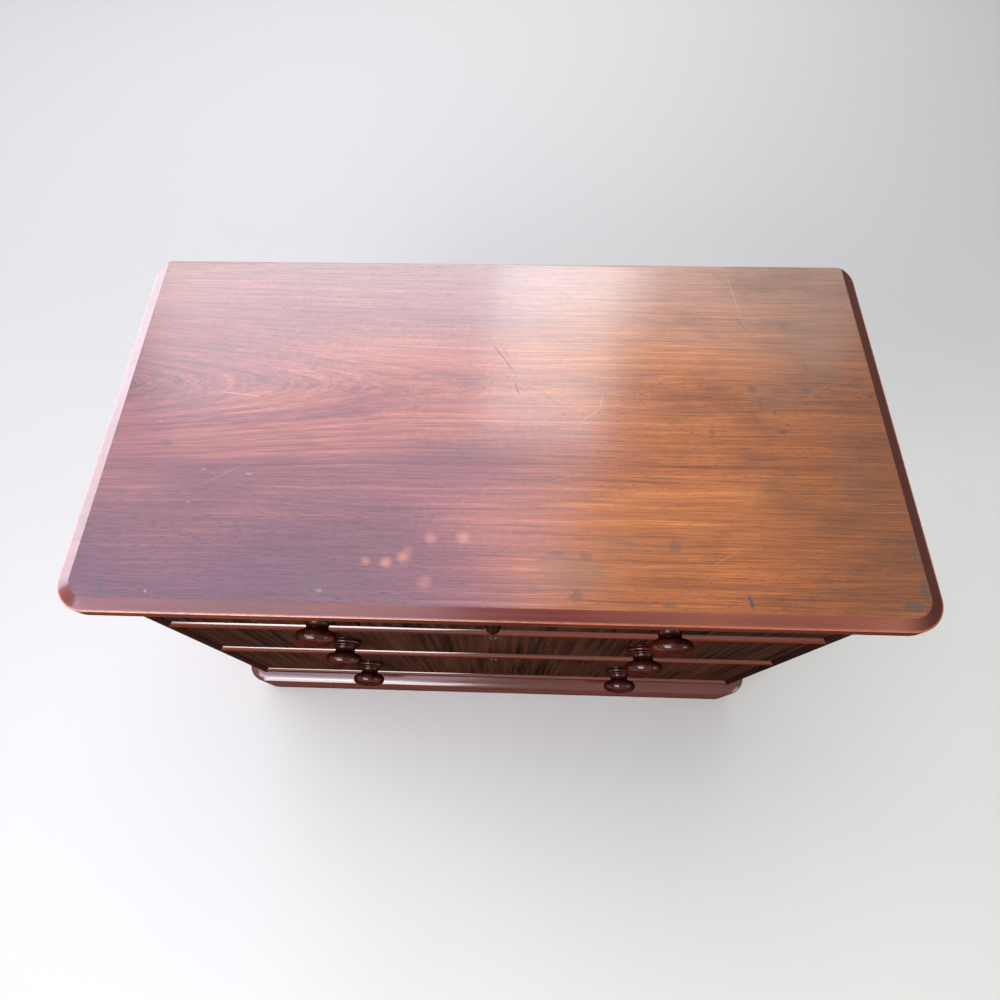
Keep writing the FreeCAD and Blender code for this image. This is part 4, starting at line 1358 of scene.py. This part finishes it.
@dataclass(frozen=True)
class Facings:
    """The half-round facings of rails and stiles and the muntin, in millimetres."""

    nose: float = -207.25
    spring: float = -198.25
    back: float = -196.25
    muntin_back: float = -136.25
    half_rail: float = 9.0
    half_muntin: float = 10.0
    stile_centre: float = 431.0
    case_low: float = 88.0
    case_high: float = 664.0
    joint_gap: float = 0.2
    block_round: float = 0.8
    rails: dict = field(default_factory=lambda: {"top": 637.0, "upper": 489.0,
                                                 "middle": 315.0, "bottom": 97.0})

    def rail(self, name: str) -> Shell:
        """The facing of one rail, pointed at both ends and notched for the muntin.

        The half length falls by as much as the section moves away from its middle, so that both
        ends are right-angled points. On the side where the muntin comes in, the notch's half
        width grows from nothing at the middle to the muntin's at the edge.

        Args:
            name: The rail's name.

        Returns:
            The surface.
        """
        section = Section(self.half_rail, self.nose, self.spring, self.back)
        across = section.across()
        end = self.stile_centre - np.abs(across) - self.joint_gap
        every = np.ones(len(across), bool)
        if name not in ("top", "upper"):
            return facing_shell(section, [Span(-end, end, every, every)], self.rails[name], True)
        towards = -across if name == "top" else across
        notch = np.maximum(towards, 0.0) * self.half_muntin / self.half_rail
        closed = towards >= -TINY
        spans = [Span(-end, -notch, every, closed), Span(notch, end, closed, every)]
        return facing_shell(section, spans, self.rails[name], True)

    def stile(self, side: float) -> Shell:
        """The facing of one side board, notched for the points of the rails' facings.

        The notch's half height is the distance from the point's tip, and nothing beyond it.

        Args:
            side: 1 for the right and -1 for the left.

        Returns:
            The surface.
        """
        section = Section(self.half_rail, self.nose, self.spring, self.back)
        inward = -side * section.across()
        notch = np.maximum(inward, 0.0)
        closed = inward >= -TINY
        every = np.ones(len(notch), bool)
        centres = sorted(self.rails.values())
        lows = [np.full_like(notch, self.case_low)] + [centre + notch for centre in centres]
        highs = [centre - notch for centre in centres] + [np.full_like(notch, self.case_high)]
        spans = []
        for place, (low, high) in enumerate(zip(lows, highs)):
            low_closed = every if place == 0 else closed
            high_closed = every if place == len(centres) else closed
            spans.append(Span(np.minimum(low, high), high, low_closed, high_closed))
        return facing_shell(section, spans, side * self.stile_centre, False)

    def muntin(self) -> Shell:
        """The muntin: a half-round front with pointed ends, and a plain block behind it.

        The points shorten it by as much as the section moves away from its middle, times the
        rails' half height over its own half width.

        Returns:
            The surface.
        """
        section = Section(self.half_muntin, self.nose, self.spring, self.back)
        slope = self.half_rail / self.half_muntin
        reach = np.abs(section.across()) * slope + self.joint_gap
        every = np.ones(len(reach), bool)
        span = Span(self.rails["upper"] + reach, self.rails["top"] - reach, every, every)
        shell = facing_shell(section, [span], 0.0, False)
        low = self.rails["upper"] + self.half_rail
        high = self.rails["top"] - self.half_rail
        block(shell, (-self.half_muntin, self.back - self.joint_gap, low),
              (self.half_muntin, self.muntin_back, high), self.block_round)
        return shell


def block(shell: Shell, low: tuple, high: tuple, radius: float, steps: int = 4) -> None:
    """Adds a block with rounded arrises to a surface.

    Points are spread over a cube's faces, held inside the block drawn in by the radius, and then
    moved out by the radius along their own way from that inner block.

    Args:
        shell: The surface that it is added to.
        low: The lowest corner.
        high: The highest corner.
        radius: The radius of the arrises.
        steps: How many points each arris has.
    """
    corner_low = np.array(low, float)
    corner_high = np.array(high, float)
    middle = (corner_low + corner_high) / 2
    half = (corner_high - corner_low) / 2
    inner = half - radius
    turns = np.linspace(0.0, math.pi / 4, steps)
    rim = np.tan(turns)
    line = np.concatenate([-rim[::-1], rim])
    base = np.repeat(np.array([-1.0, 1.0]), steps)
    u, v = np.meshgrid(line, line, indexing="ij")
    base_u, base_v = np.meshgrid(base, base, indexing="ij")
    for axis in range(3):
        for side in (-1.0, 1.0):
            others = [number for number in range(3) if number != axis]
            inside = np.zeros(u.shape + (3,))
            inside[..., axis] = side * inner[axis]
            inside[..., others[0]] = base_u * inner[others[0]]
            inside[..., others[1]] = base_v * inner[others[1]]
            way = np.zeros_like(inside)
            way[..., axis] = side
            way[..., others[0]] = np.where(base_u * u > 0, u, 0.0)
            way[..., others[1]] = np.where(base_v * v > 0, v, 0.0)
            way /= np.linalg.norm(way, axis=-1, keepdims=True)
            shell.sheet(middle + inside + radius * way)


@dataclass(frozen=True)
class Plinth:
    """The plinth's front and ends, mitred at the round corners, in millimetres."""

    half_width: float = 465.0
    case_half: float = 440.0
    front: float = -223.25
    inner_front: float = -196.25
    back: float = 235.75
    upper: float = 88.0
    corner_radius: float = 34.0
    bevel_width: float = 16.0
    bevel_drop: float = 5.0
    arris: float = 1.2
    joint_gap: float = 0.15
    turns: int = 13
    rows: int = 9
    foot: tuple = ((0.8, 0.0), (0.2, 0.3), (0.0, 1.0))

    def profile(self) -> tuple[np.ndarray, np.ndarray]:
        """The outer profile from the foot up to the end of the bevel.

        The foot is a little rounded. The arris between the wall and the bevel is a curve of
        the second degree that meets both without a kink.

        Returns:
            The insets and the heights.
        """
        quarter = np.linspace(0.0, 1.0, 6)
        shoulder = self.upper - self.bevel_drop
        slope = self.bevel_drop / self.bevel_width
        wall = np.array(self.foot + ((0.0, shoulder - self.arris),))
        drop = self.arris * (1.0 - slope)
        rise = (self.arris - drop) * quarter ** 2 + slope * self.arris * (quarter ** 2 - quarter)
        turn = np.stack([self.arris * quarter ** 2, shoulder - self.arris * (1 - quarter) + rise], axis=1)
        bevel = np.array([[self.bevel_width / 2, self.upper - self.bevel_drop / 2],
                          [self.bevel_width, self.upper]])
        rows = np.concatenate([wall, turn[1:], bevel])
        return rows[:, 0], rows[:, 1]

    def sweep(self, outer: np.ndarray, inward: np.ndarray, inner: np.ndarray) -> Shell:
        """Carries the profile along a path and closes it against the case.

        Each outer point lies at the path plus the inset times the inward way. The last two rows
        are the inner line at the top and at the foot.

        Args:
            outer: The outer path's plan points.
            inward: The way inwards at each of them.
            inner: The inner path's plan points.

        Returns:
            The surface.
        """
        inset, height = self.profile()
        plan = outer[None] + inset[:, None, None] * inward[None]
        plan = np.concatenate([plan, inner[None], inner[None], plan[:1]])
        levels = np.concatenate([height, [self.upper, 0.0, 0.0]])
        shell = Shell()
        shell.sheet(points_from(plan[..., 0], plan[..., 1], levels[:, None]))
        for end in (0, -1):
            rim = plan[:-1, end]
            ring = points_from(rim[:, 0], rim[:, 1], levels[:-1])
            foot = points_from(np.linspace(rim[0, 0], rim[-1, 0], len(rim)),
                               np.linspace(rim[0, 1], rim[-1, 1], len(rim)), np.zeros(len(rim)))
            shell.sheet(np.stack([ring, foot]))
        return shell

    def corner(self, start: float, finish: float) -> tuple[np.ndarray, np.ndarray]:
        """The right front corner's arc between two turns.

        Args:
            start: The first turn, in degrees from the way across.
            finish: The last turn.

        Returns:
            The arc's points and the ways inwards.
        """
        turn = np.radians(np.linspace(start, finish, self.turns))
        way = np.stack([np.cos(turn), np.sin(turn)], axis=1)
        centre = np.array([self.half_width - self.corner_radius, self.front + self.corner_radius])
        return centre + self.corner_radius * way, -way

    def front_board(self) -> Shell:
        """The front board, from one mitre to the other.

        Its right half is worked out and mirrored.

        Returns:
            The surface.
        """
        arc_points, arc_ways = self.corner(-90.0, -45.0)
        share = np.linspace(0.0, 1.0, self.turns)[:, None]
        arc_points = arc_points - np.array([self.joint_gap, 0.0]) * share
        flat = np.linspace(0.0, arc_points[0, 0], self.rows)[:-1]
        half = np.concatenate([np.stack([flat, np.full_like(flat, self.front)], axis=1), arc_points])
        ways = np.concatenate([np.tile([0.0, 1.0], (len(flat), 1)), arc_ways])
        inner_x = np.minimum(half[:, 0], self.case_half - self.joint_gap)
        inner_x[-1] = self.case_half - self.joint_gap
        inner = np.stack([inner_x, np.full_like(inner_x, self.inner_front)], axis=1)
        flip = np.array([-1.0, 1.0])
        return self.sweep(*[np.concatenate([part[:0:-1] * flip, part]) for part in (half, ways, inner)])

    def end_board(self, side: float) -> Shell:
        """One end board, from the mitre to the back.

        Args:
            side: 1 for the right and -1 for the left.

        Returns:
            The surface.
        """
        arc_points, arc_ways = self.corner(-45.0, 0.0)
        deep = np.linspace(arc_points[-1, 1], self.back, self.rows)[1:]
        outer = np.concatenate([arc_points, np.stack([np.full_like(deep, self.half_width), deep], axis=1)])
        ways = np.concatenate([arc_ways, np.tile([-1.0, 0.0], (len(deep), 1))])
        inner_y = np.concatenate([np.linspace(self.inner_front, arc_points[-1, 1], self.turns), deep])
        inner = np.stack([np.full_like(inner_y, self.case_half), inner_y], axis=1)
        flip = np.array([side, 1.0])
        return self.sweep(outer * flip, ways * flip, inner * flip)


@dataclass(frozen=True)
class Knob:
    """A turned knob with a ringed rose, a waisted neck and a spigot, in millimetres."""

    face: float = -202.25
    diameter: float = 51.0
    projection: float = 39.5
    edge_round: float = 8.0
    dome_rise: float = 3.0
    neck: float = 28.0
    cove_length: float = 2.2
    cove_hollow: float = 0.8
    neck_hollow: float = 0.5
    flare_length: float = 2.6
    rings: tuple = ((40.0, 2.2), (44.0, 5.3), (36.5, 2.8))
    spigot: float = 19.0
    spigot_length: float = 21.0
    segments: int = 96
    face_points: int = 15
    edge_points: int = 25

    def head(self) -> np.ndarray:
        """The head's profile from its tip to its back: radius and distance from the face.

        The face is an arc about a point on the axis, and the edge an arc about a point at the
        reach. Both meet at the turn where the line through the two centres crosses them.

        Returns:
            The profile's points.
        """
        rise = self.edge_round + self.dome_rise
        reach = self.diameter / 2 - self.edge_round
        middle = self.projection - rise
        dome = (reach ** 2 + rise ** 2 - self.edge_round ** 2) / (2 * self.dome_rise)
        turn = math.atan2(reach, dome - rise)
        over = np.linspace(0.0, turn, self.face_points)
        face = np.stack([dome * np.sin(over), self.projection - dome * (1 - np.cos(over))], axis=1)
        round_turn = np.linspace(turn, math.pi, self.edge_points)[1:]
        edge = np.stack([reach + self.edge_round * np.sin(round_turn),
                         middle + self.edge_round * np.cos(round_turn)], axis=1)
        return np.concatenate([face, edge])

    def profile(self) -> np.ndarray:
        """The turned profile from the end of the spigot to the tip of the head.

        The rings are half rounds, and hollow arcs join them to the neck and the neck to the
        head.

        Returns:
            The radius and the distance from the face at each point.
        """
        head = self.head()
        parts = []
        distance = 0.0
        for diameter, thickness in self.rings:
            radius = (diameter - thickness) / 2
            parts.append(arc((radius, distance), (radius, distance + thickness), -thickness / 2, 11))
            distance += thickness
        bead_end = tuple(parts[-1][-1])
        neck_low = (self.neck / 2, distance + self.cove_length)
        neck_top = (self.neck / 2, float(head[-1, 1]) - self.flare_length)
        back = tuple(head[-1])
        parts += [
            arc(bead_end, neck_low, self.cove_hollow, 7)[1:],
            arc(neck_low, neck_top, self.neck_hollow, 6)[1:],
            arc(neck_top, back, self.cove_hollow, 7)[1:],
        ]
        spigot = np.array([[0.0, -self.spigot_length], [self.spigot / 2, -self.spigot_length],
                           [self.spigot / 2, 0.0]])
        return np.concatenate([spigot] + parts + [head[-2::-1]])

    def shell(self, x: float, z: float) -> Shell:
        """Turns the profile round its axis: radius times cosine across, radius times sine up.

        Args:
            x: The axis's place across.
            z: The axis's height.

        Returns:
            The surface.
        """
        profile = self.profile()
        turn = np.linspace(0.0, math.tau, self.segments + 1)[None, :]
        across = profile[:, :1] * np.cos(turn)
        up = profile[:, :1] * np.sin(turn)
        shell = Shell()
        shell.sheet(points_from(x + across, self.face - profile[:, 1:], z + up))
        return shell


@dataclass(frozen=True)
class Camera:
    """The photograph's camera, in millimetres and radians."""

    place: tuple = (8.727, -374.509, 1328.667)
    yaw: float = -0.06483
    pitch: float = -1.12819
    roll: float = -0.03944
    lens: float = 22.9078
    shift_x: float = 0.0150
    shift_y: float = -0.0241
    sensor: float = 36.0

    def build(self) -> bpy.types.Object:
        """Makes the camera.

        The way forward is turned by the yaw about the upright and by the pitch about the level
        axis. The picture is then rolled about it.

        Returns:
            The camera object.
        """
        forward = np.array([math.sin(self.yaw) * math.cos(self.pitch),
                            math.cos(self.yaw) * math.cos(self.pitch), math.sin(self.pitch)])
        right = np.array([math.cos(self.yaw), -math.sin(self.yaw), 0.0])
        up = np.cross(right, forward)
        across = right * math.cos(self.roll) + up * math.sin(self.roll)
        upward = up * math.cos(self.roll) - right * math.sin(self.roll)
        data = bpy.data.cameras.new("photo_camera")
        data.sensor_width = self.sensor
        data.lens = self.lens
        data.shift_x = self.shift_x
        data.shift_y = self.shift_y
        camera = bpy.data.objects.new("photo_camera", data)
        turned = np.eye(4)
        turned[:3, :3] = np.stack([across, upward, -forward], axis=1)
        turned[:3, 3] = np.array(self.place) * MM
        camera.matrix_world = Matrix(turned.tolist())
        bpy.context.scene.collection.objects.link(camera)
        bpy.context.scene.camera = camera
        return camera


@dataclass(frozen=True)
class Lamp:
    """A soft rectangular lamp."""

    name: str
    place: tuple
    target: tuple
    width: float
    height: float
    radiance: float
    tone: tuple = (1.0, 1.0, 1.0)
    turn: float = 0.0

    def build(self) -> bpy.types.Object:
        """Makes the lamp, turned in its own plane by some degrees.

        Its power is the radiance times its area times pi.

        Returns:
            The lamp object.
        """
        data = bpy.data.lights.new(self.name, "AREA")
        data.shape = "RECTANGLE"
        data.size = self.width
        data.size_y = self.height
        data.energy = self.radiance * self.width * self.height * math.pi
        data.color = self.tone
        lamp = bpy.data.objects.new(self.name, data)
        lamp.visible_camera = False
        towards = Vector(self.target) - Vector(self.place)
        aim = towards.to_track_quat("-Z", "Y").to_matrix().to_4x4()
        spin = Matrix.Rotation(math.radians(self.turn), 4, "Z")
        lamp.matrix_world = Matrix.Translation(self.place) @ aim @ spin
        bpy.context.scene.collection.objects.link(lamp)
        return lamp


@dataclass(frozen=True)
class Studio:
    """A pale floor, an even grey room and soft panels, most of them over the left half."""

    floor_tone: tuple = colour(230, 233, 225)
    floor_left: tuple = colour(202, 204, 200)
    floor_rear: tuple = colour(188, 190, 187)
    floor_half: float = 8.0
    room_level: float = 0.34
    leftward: tuple = (500.0, -1100.0)
    rearward: tuple = (-700.0, 1300.0)
    waver: float = 400.0
    lamps: tuple = (
        Lamp("ceiling_panel", (-0.80, 0.855, 2.5), (-0.80, 0.855, 0.0), 2.3, 4.2, 1.4,
             (0.95, 0.88, 1.08), -18.0),
        Lamp("front_panel", (-1.5, -1.45, 2.5), (-1.5, -1.45, 0.0), 2.1, 1.2, 4.2,
             (0.95, 0.86, 1.08), -18.0),
        Lamp("rear_panel", (-0.65, 2.25, 2.45), (-0.4, 1.5, 0.68), 2.6, 1.5, 2.6, (1.0, 0.98, 1.0)),
        Lamp("right_panel", (1.25, 2.1, 2.45), (1.0, 1.4, 0.68), 1.2, 1.2, 1.2, (0.96, 1.0, 0.96)),
        Lamp("left_panel", (-5.5, 2.3, 2.4), (-0.3, 0.0, 0.68), 4.4, 2.2, 5.2, (0.95, 0.93, 1.06)),
        Lamp("window", (0.2, 1.27, 2.19), (0.06, 0.1, 0.68), 0.49, 0.8, 3.3, (0.97, 1.0, 0.94)),
        Lamp("left_window", (-0.9, -2.2, 2.05), (-0.2, -0.2, 0.5), 1.4, 1.2, 6.4, (1.0, 0.97, 0.98)),
        Lamp("right_fill", (2.9, -1.9, 1.5), (0.3, -0.1, 0.4), 1.2, 1.2, 1.8, (1.0, 0.97, 0.92)),
        Lamp("rear_fill", (0.9, 3.2, 1.3), (0.0, 0.2, 0.4), 2.0, 1.2, 1.6, (1.0, 0.98, 0.95)),
    )

    def floor(self) -> None:
        """Makes the floor: pale, and a little greyer towards the left and the back."""
        shell = Shell()
        line = np.linspace(-self.floor_half, self.floor_half, 2) / MM
        shell.sheet(points_from(line[:, None], line[None, :], np.zeros((2, 2))))
        floor = shell.build("floor")
        material, graph, shader, position = dressed_shader("floor")
        cloud = graph.noise(position, 0.002, 2.0, 0.5)
        across, depth, _ = graph.split(position)
        leftward = graph.remap(graph.fused(cloud, self.waver, across), *self.leftward)
        rearward = graph.remap(graph.fused(cloud, self.waver, depth), *self.rearward)
        shade = graph.tint(rearward, graph.tint(leftward, self.floor_tone, self.floor_left), self.floor_rear)
        graph.feed(shader.inputs["Base Color"], shade)
        set_plain(shader, Roughness=0.8, Specular_IOR_Level=0.0)
        floor.data.materials.append(material)

    def room(self) -> None:
        """Makes the world an even grey."""
        world = bpy.data.worlds.new("studio")
        world.use_nodes = True
        bpy.context.scene.world = world
        set_plain(world.node_tree.nodes["Background"], Color=(self.room_level,) * 3 + (1.0,), Strength=1.0)

    def build(self) -> None:
        """Makes the floor, the room and the lamps."""
        self.floor()
        self.room()
        for lamp in self.lamps:
            lamp.build()


CASE_WOOD = WoodFinish(
    "case_wood", colour(68, 27, 21), colour(96, 42, 32), colour(122, 58, 44), pitch=20.0, waver=14.0,
    band_share=0.2, streak_share=0.4, roughness=0.3, coat=1.0, coat_roughness=0.16, coat_index=2.0,
    glance=0.08, specular=0.0, worn=colour(170, 96, 66), wear_share=0.4)
FACING_WOOD = WoodFinish(
    "facing_wood", colour(54, 18, 9), colour(100, 38, 18), colour(132, 56, 28), pitch=9.0, roughness=0.24,
    coat=1.0, coat_roughness=0.1, coat_index=2.1, glance=0.03, specular=0.0)
# The rails' facing wood, painted darker as shade for the upright stiles and the muntin.
SHADED_STILE_WOOD = WoodFinish(
    "shaded_stile_wood", colour(24, 11, 9), colour(42, 20, 16), colour(62, 32, 26), pitch=9.0, roughness=0.3,
    coat=0.8, coat_roughness=0.08, glance=0.02, specular=0.0)
FRONT_WOOD = WoodFinish(
    "front_wood", colour(18, 9, 7), colour(38, 20, 15), colour(84, 50, 36), pitch=11.0, waver=30.0,
    band_share=0.3, streak_share=0.65, roughness=0.42, coat=0.4, coat_roughness=0.14, glance=0.02,
    specular=0.0, worn=colour(96, 52, 36), wear_share=0.5)
KNOB_WOOD = WoodFinish(
    "knob_wood", colour(26, 8, 6), colour(54, 17, 11), colour(98, 36, 22), pitch=12.0, roughness=0.2,
    coat=1.0, coat_roughness=0.04, coat_index=1.6, glance=0.02, specular=0.0)
EDGE_WOOD = WoodFinish(
    "edge_wood", colour(62, 26, 14), colour(92, 42, 24), colour(124, 62, 38), pitch=20.0, waver=14.0,
    roughness=0.35, coat=0.8, coat_roughness=0.1, glance=0.05, specular=0.0)
INNER_WOOD = WoodFinish(
    "inner_wood", colour(106, 72, 46), colour(142, 102, 66), colour(168, 126, 86), pitch=18.0, waver=12.0,
    roughness=0.7, bump_height=0.2, dust=0.6)
LINING_WOOD = WoodFinish(
    "lining_wood", colour(138, 92, 54), colour(170, 120, 74), colour(196, 150, 100), pitch=16.0,
    waver=10.0, roughness=0.55, bump_height=0.15, dust=0.4, worn=colour(206, 168, 124), wear_share=0.3)
BRASS = MetalFinish("brass", colour(118, 94, 64), colour(58, 46, 34), 0.5)
STEEL = MetalFinish("steel", colour(150, 148, 144), colour(74, 62, 54), 0.4)


@dataclass(frozen=True)
class Carcass:
    """The boards of the case that keep the frame's shapes: each wood and grain with its boards."""

    boards: tuple = (
        (CASE_WOOD, Grain.UPRIGHT, ("side_left", "side_right")),
        (CASE_WOOD, Grain.ACROSS, ("rail_top",)),
        (INNER_WOOD, Grain.ACROSS, ("rail_upper", "rail_middle", "rail_bottom", "rail_back")),
        (INNER_WOOD, Grain.DEEP, ("runners", "centre_runner", "kickers")),
        (INNER_WOOD, Grain.ACROSS, ("dust_boards", "back_boards", "drawer_stops", "plinth_back")),
        (INNER_WOOD, Grain.UPRIGHT, ("plinth_blocks",)),
    )

    def build(self, dress: Dress) -> None:
        """Dresses every board of the case that is not replaced, and the screws.

        Args:
            dress: What puts the finishes on.
        """
        placed = [(node, finish, grain) for finish, grain, nodes in self.boards for node in nodes]
        for number, (node, finish, grain) in enumerate(placed):
            dress.board(node, finish, grain, number + 1.0)
        dress.cover("top_screws", STEEL.material(dress.effects))


@dataclass(frozen=True)
class Drawer:
    """One drawer: its name, where its knobs are and whether it has a lock."""

    name: str
    knob_places: tuple
    knob_height: float
    locked: bool
    seed: float
    boards: tuple = (
        ("front", FRONT_WOOD, Grain.UPRIGHT), ("side_left", LINING_WOOD, Grain.DEEP),
        ("side_right", LINING_WOOD, Grain.DEEP), ("back", LINING_WOOD, Grain.ACROSS),
        ("bottom", LINING_WOOD, Grain.ACROSS),
    )
    lock: tuple = (("lock_case", BRASS), ("escutcheon", BRASS), ("lock_bolt", STEEL))

    def build(self, dress: Dress) -> None:
        """Dresses the drawer's boards, turns its knobs and finishes its lock.

        Args:
            dress: What puts the finishes on.
        """
        for number, (part, finish, grain) in enumerate(self.boards):
            dress.board(f"{self.name}_{part}", finish, grain, self.seed + number)
        names = ("knob",) if len(self.knob_places) == 1 else ("knob_left", "knob_right")
        for name, x in zip(names, self.knob_places):
            material = KNOB_WOOD.material(dress.effects, Grain.DEEP, self.seed + 0.01 * x)
            dress.piece(Knob().shell(x, self.knob_height), f"{self.name}_turned_{name}",
                        f"{self.name}_{name}", self.name, "knob_wood", material)
        if self.locked:
            for part, metal in self.lock:
                dress.cover(f"{self.name}_{part}", metal.material(dress.effects))


@dataclass(frozen=True)
class Chest:
    """The whole chest, and what puts its finishes on."""

    dress: Dress
    drawers: tuple = (
        Drawer("drawer_short_left", (-210.5,), 563.0, False, 21.0),
        Drawer("drawer_short_right", (210.5,), 563.0, False, 31.0),
        Drawer("drawer_middle", (-210.5, 210.5), 408.0, True, 41.0),
        Drawer("drawer_bottom", (-210.5, 210.5), 212.0, True, 51.0),
    )

    def top(self) -> None:
        """Builds the top, whose wall and underside have woods of their own."""
        effects = self.dress.effects
        top = self.dress.piece(TopBoard().shell(), "top_dressed", "top_board", "case", "top_wood",
                               TopPolish().material(effects), TOP_CREASE)
        top.data.materials.append(EDGE_WOOD.material(effects, Grain.ACROSS, 6.0))
        top.data.materials.append(INNER_WOOD.material(effects, Grain.ACROSS, 7.0))
        self.dress.sort_faces(top)

    def facings(self) -> None:
        """Builds the facings of the rails and stiles, and the muntin."""
        facings = Facings()
        level = FACING_WOOD.material(self.dress.effects, Grain.ACROSS, 2.0)
        # upright is the facing wood painted darker, as shade, for the stiles and the muntin.
        upright = SHADED_STILE_WOOD.material(self.dress.effects, Grain.UPRIGHT, 3.0)
        parts = [(f"bead_{name}", f"facing_{name}", facings.rail(name), level) for name in facings.rails]
        parts += [(f"bead_{name}", f"facing_{name}", facings.stile(side), upright) for name, side in SIDES]
        parts.append(("muntin_bead", "muntin", facings.muntin(), upright))
        for name, node, shell, material in parts:
            self.dress.piece(shell, name, node, "case", "facing_wood", material)

    def plinth(self) -> None:
        """Builds the plinth's front and ends."""
        plinth = Plinth()
        across = CASE_WOOD.material(self.dress.effects, Grain.ACROSS, 4.0)
        deep = CASE_WOOD.material(self.dress.effects, Grain.DEEP, 5.0)
        parts = [("front", plinth.front_board(), across)]
        parts += [(name, plinth.end_board(side), deep) for name, side in SIDES]
        for name, shell, material in parts:
            self.dress.piece(shell, f"plinth_board_{name}", f"plinth_{name}", "case", "case_wood", material)

    def build(self) -> None:
        """Builds the top, the facings, the plinth, the case and the drawers in turn."""
        self.top()
        self.facings()
        self.plinth()
        Carcass().build(self.dress)
        for drawer in self.drawers:
            drawer.build(self.dress)


def main() -> None:
    """Builds the chest and its studio."""
    logging.basicConfig(level=logging.INFO, format="%(message)s")
    bpy.context.scene.view_settings.view_transform = "Standard"
    Chest(Dress(Effects())).build()
    Studio().build()
    Camera().build()


if __name__ == "__main__":
    main()
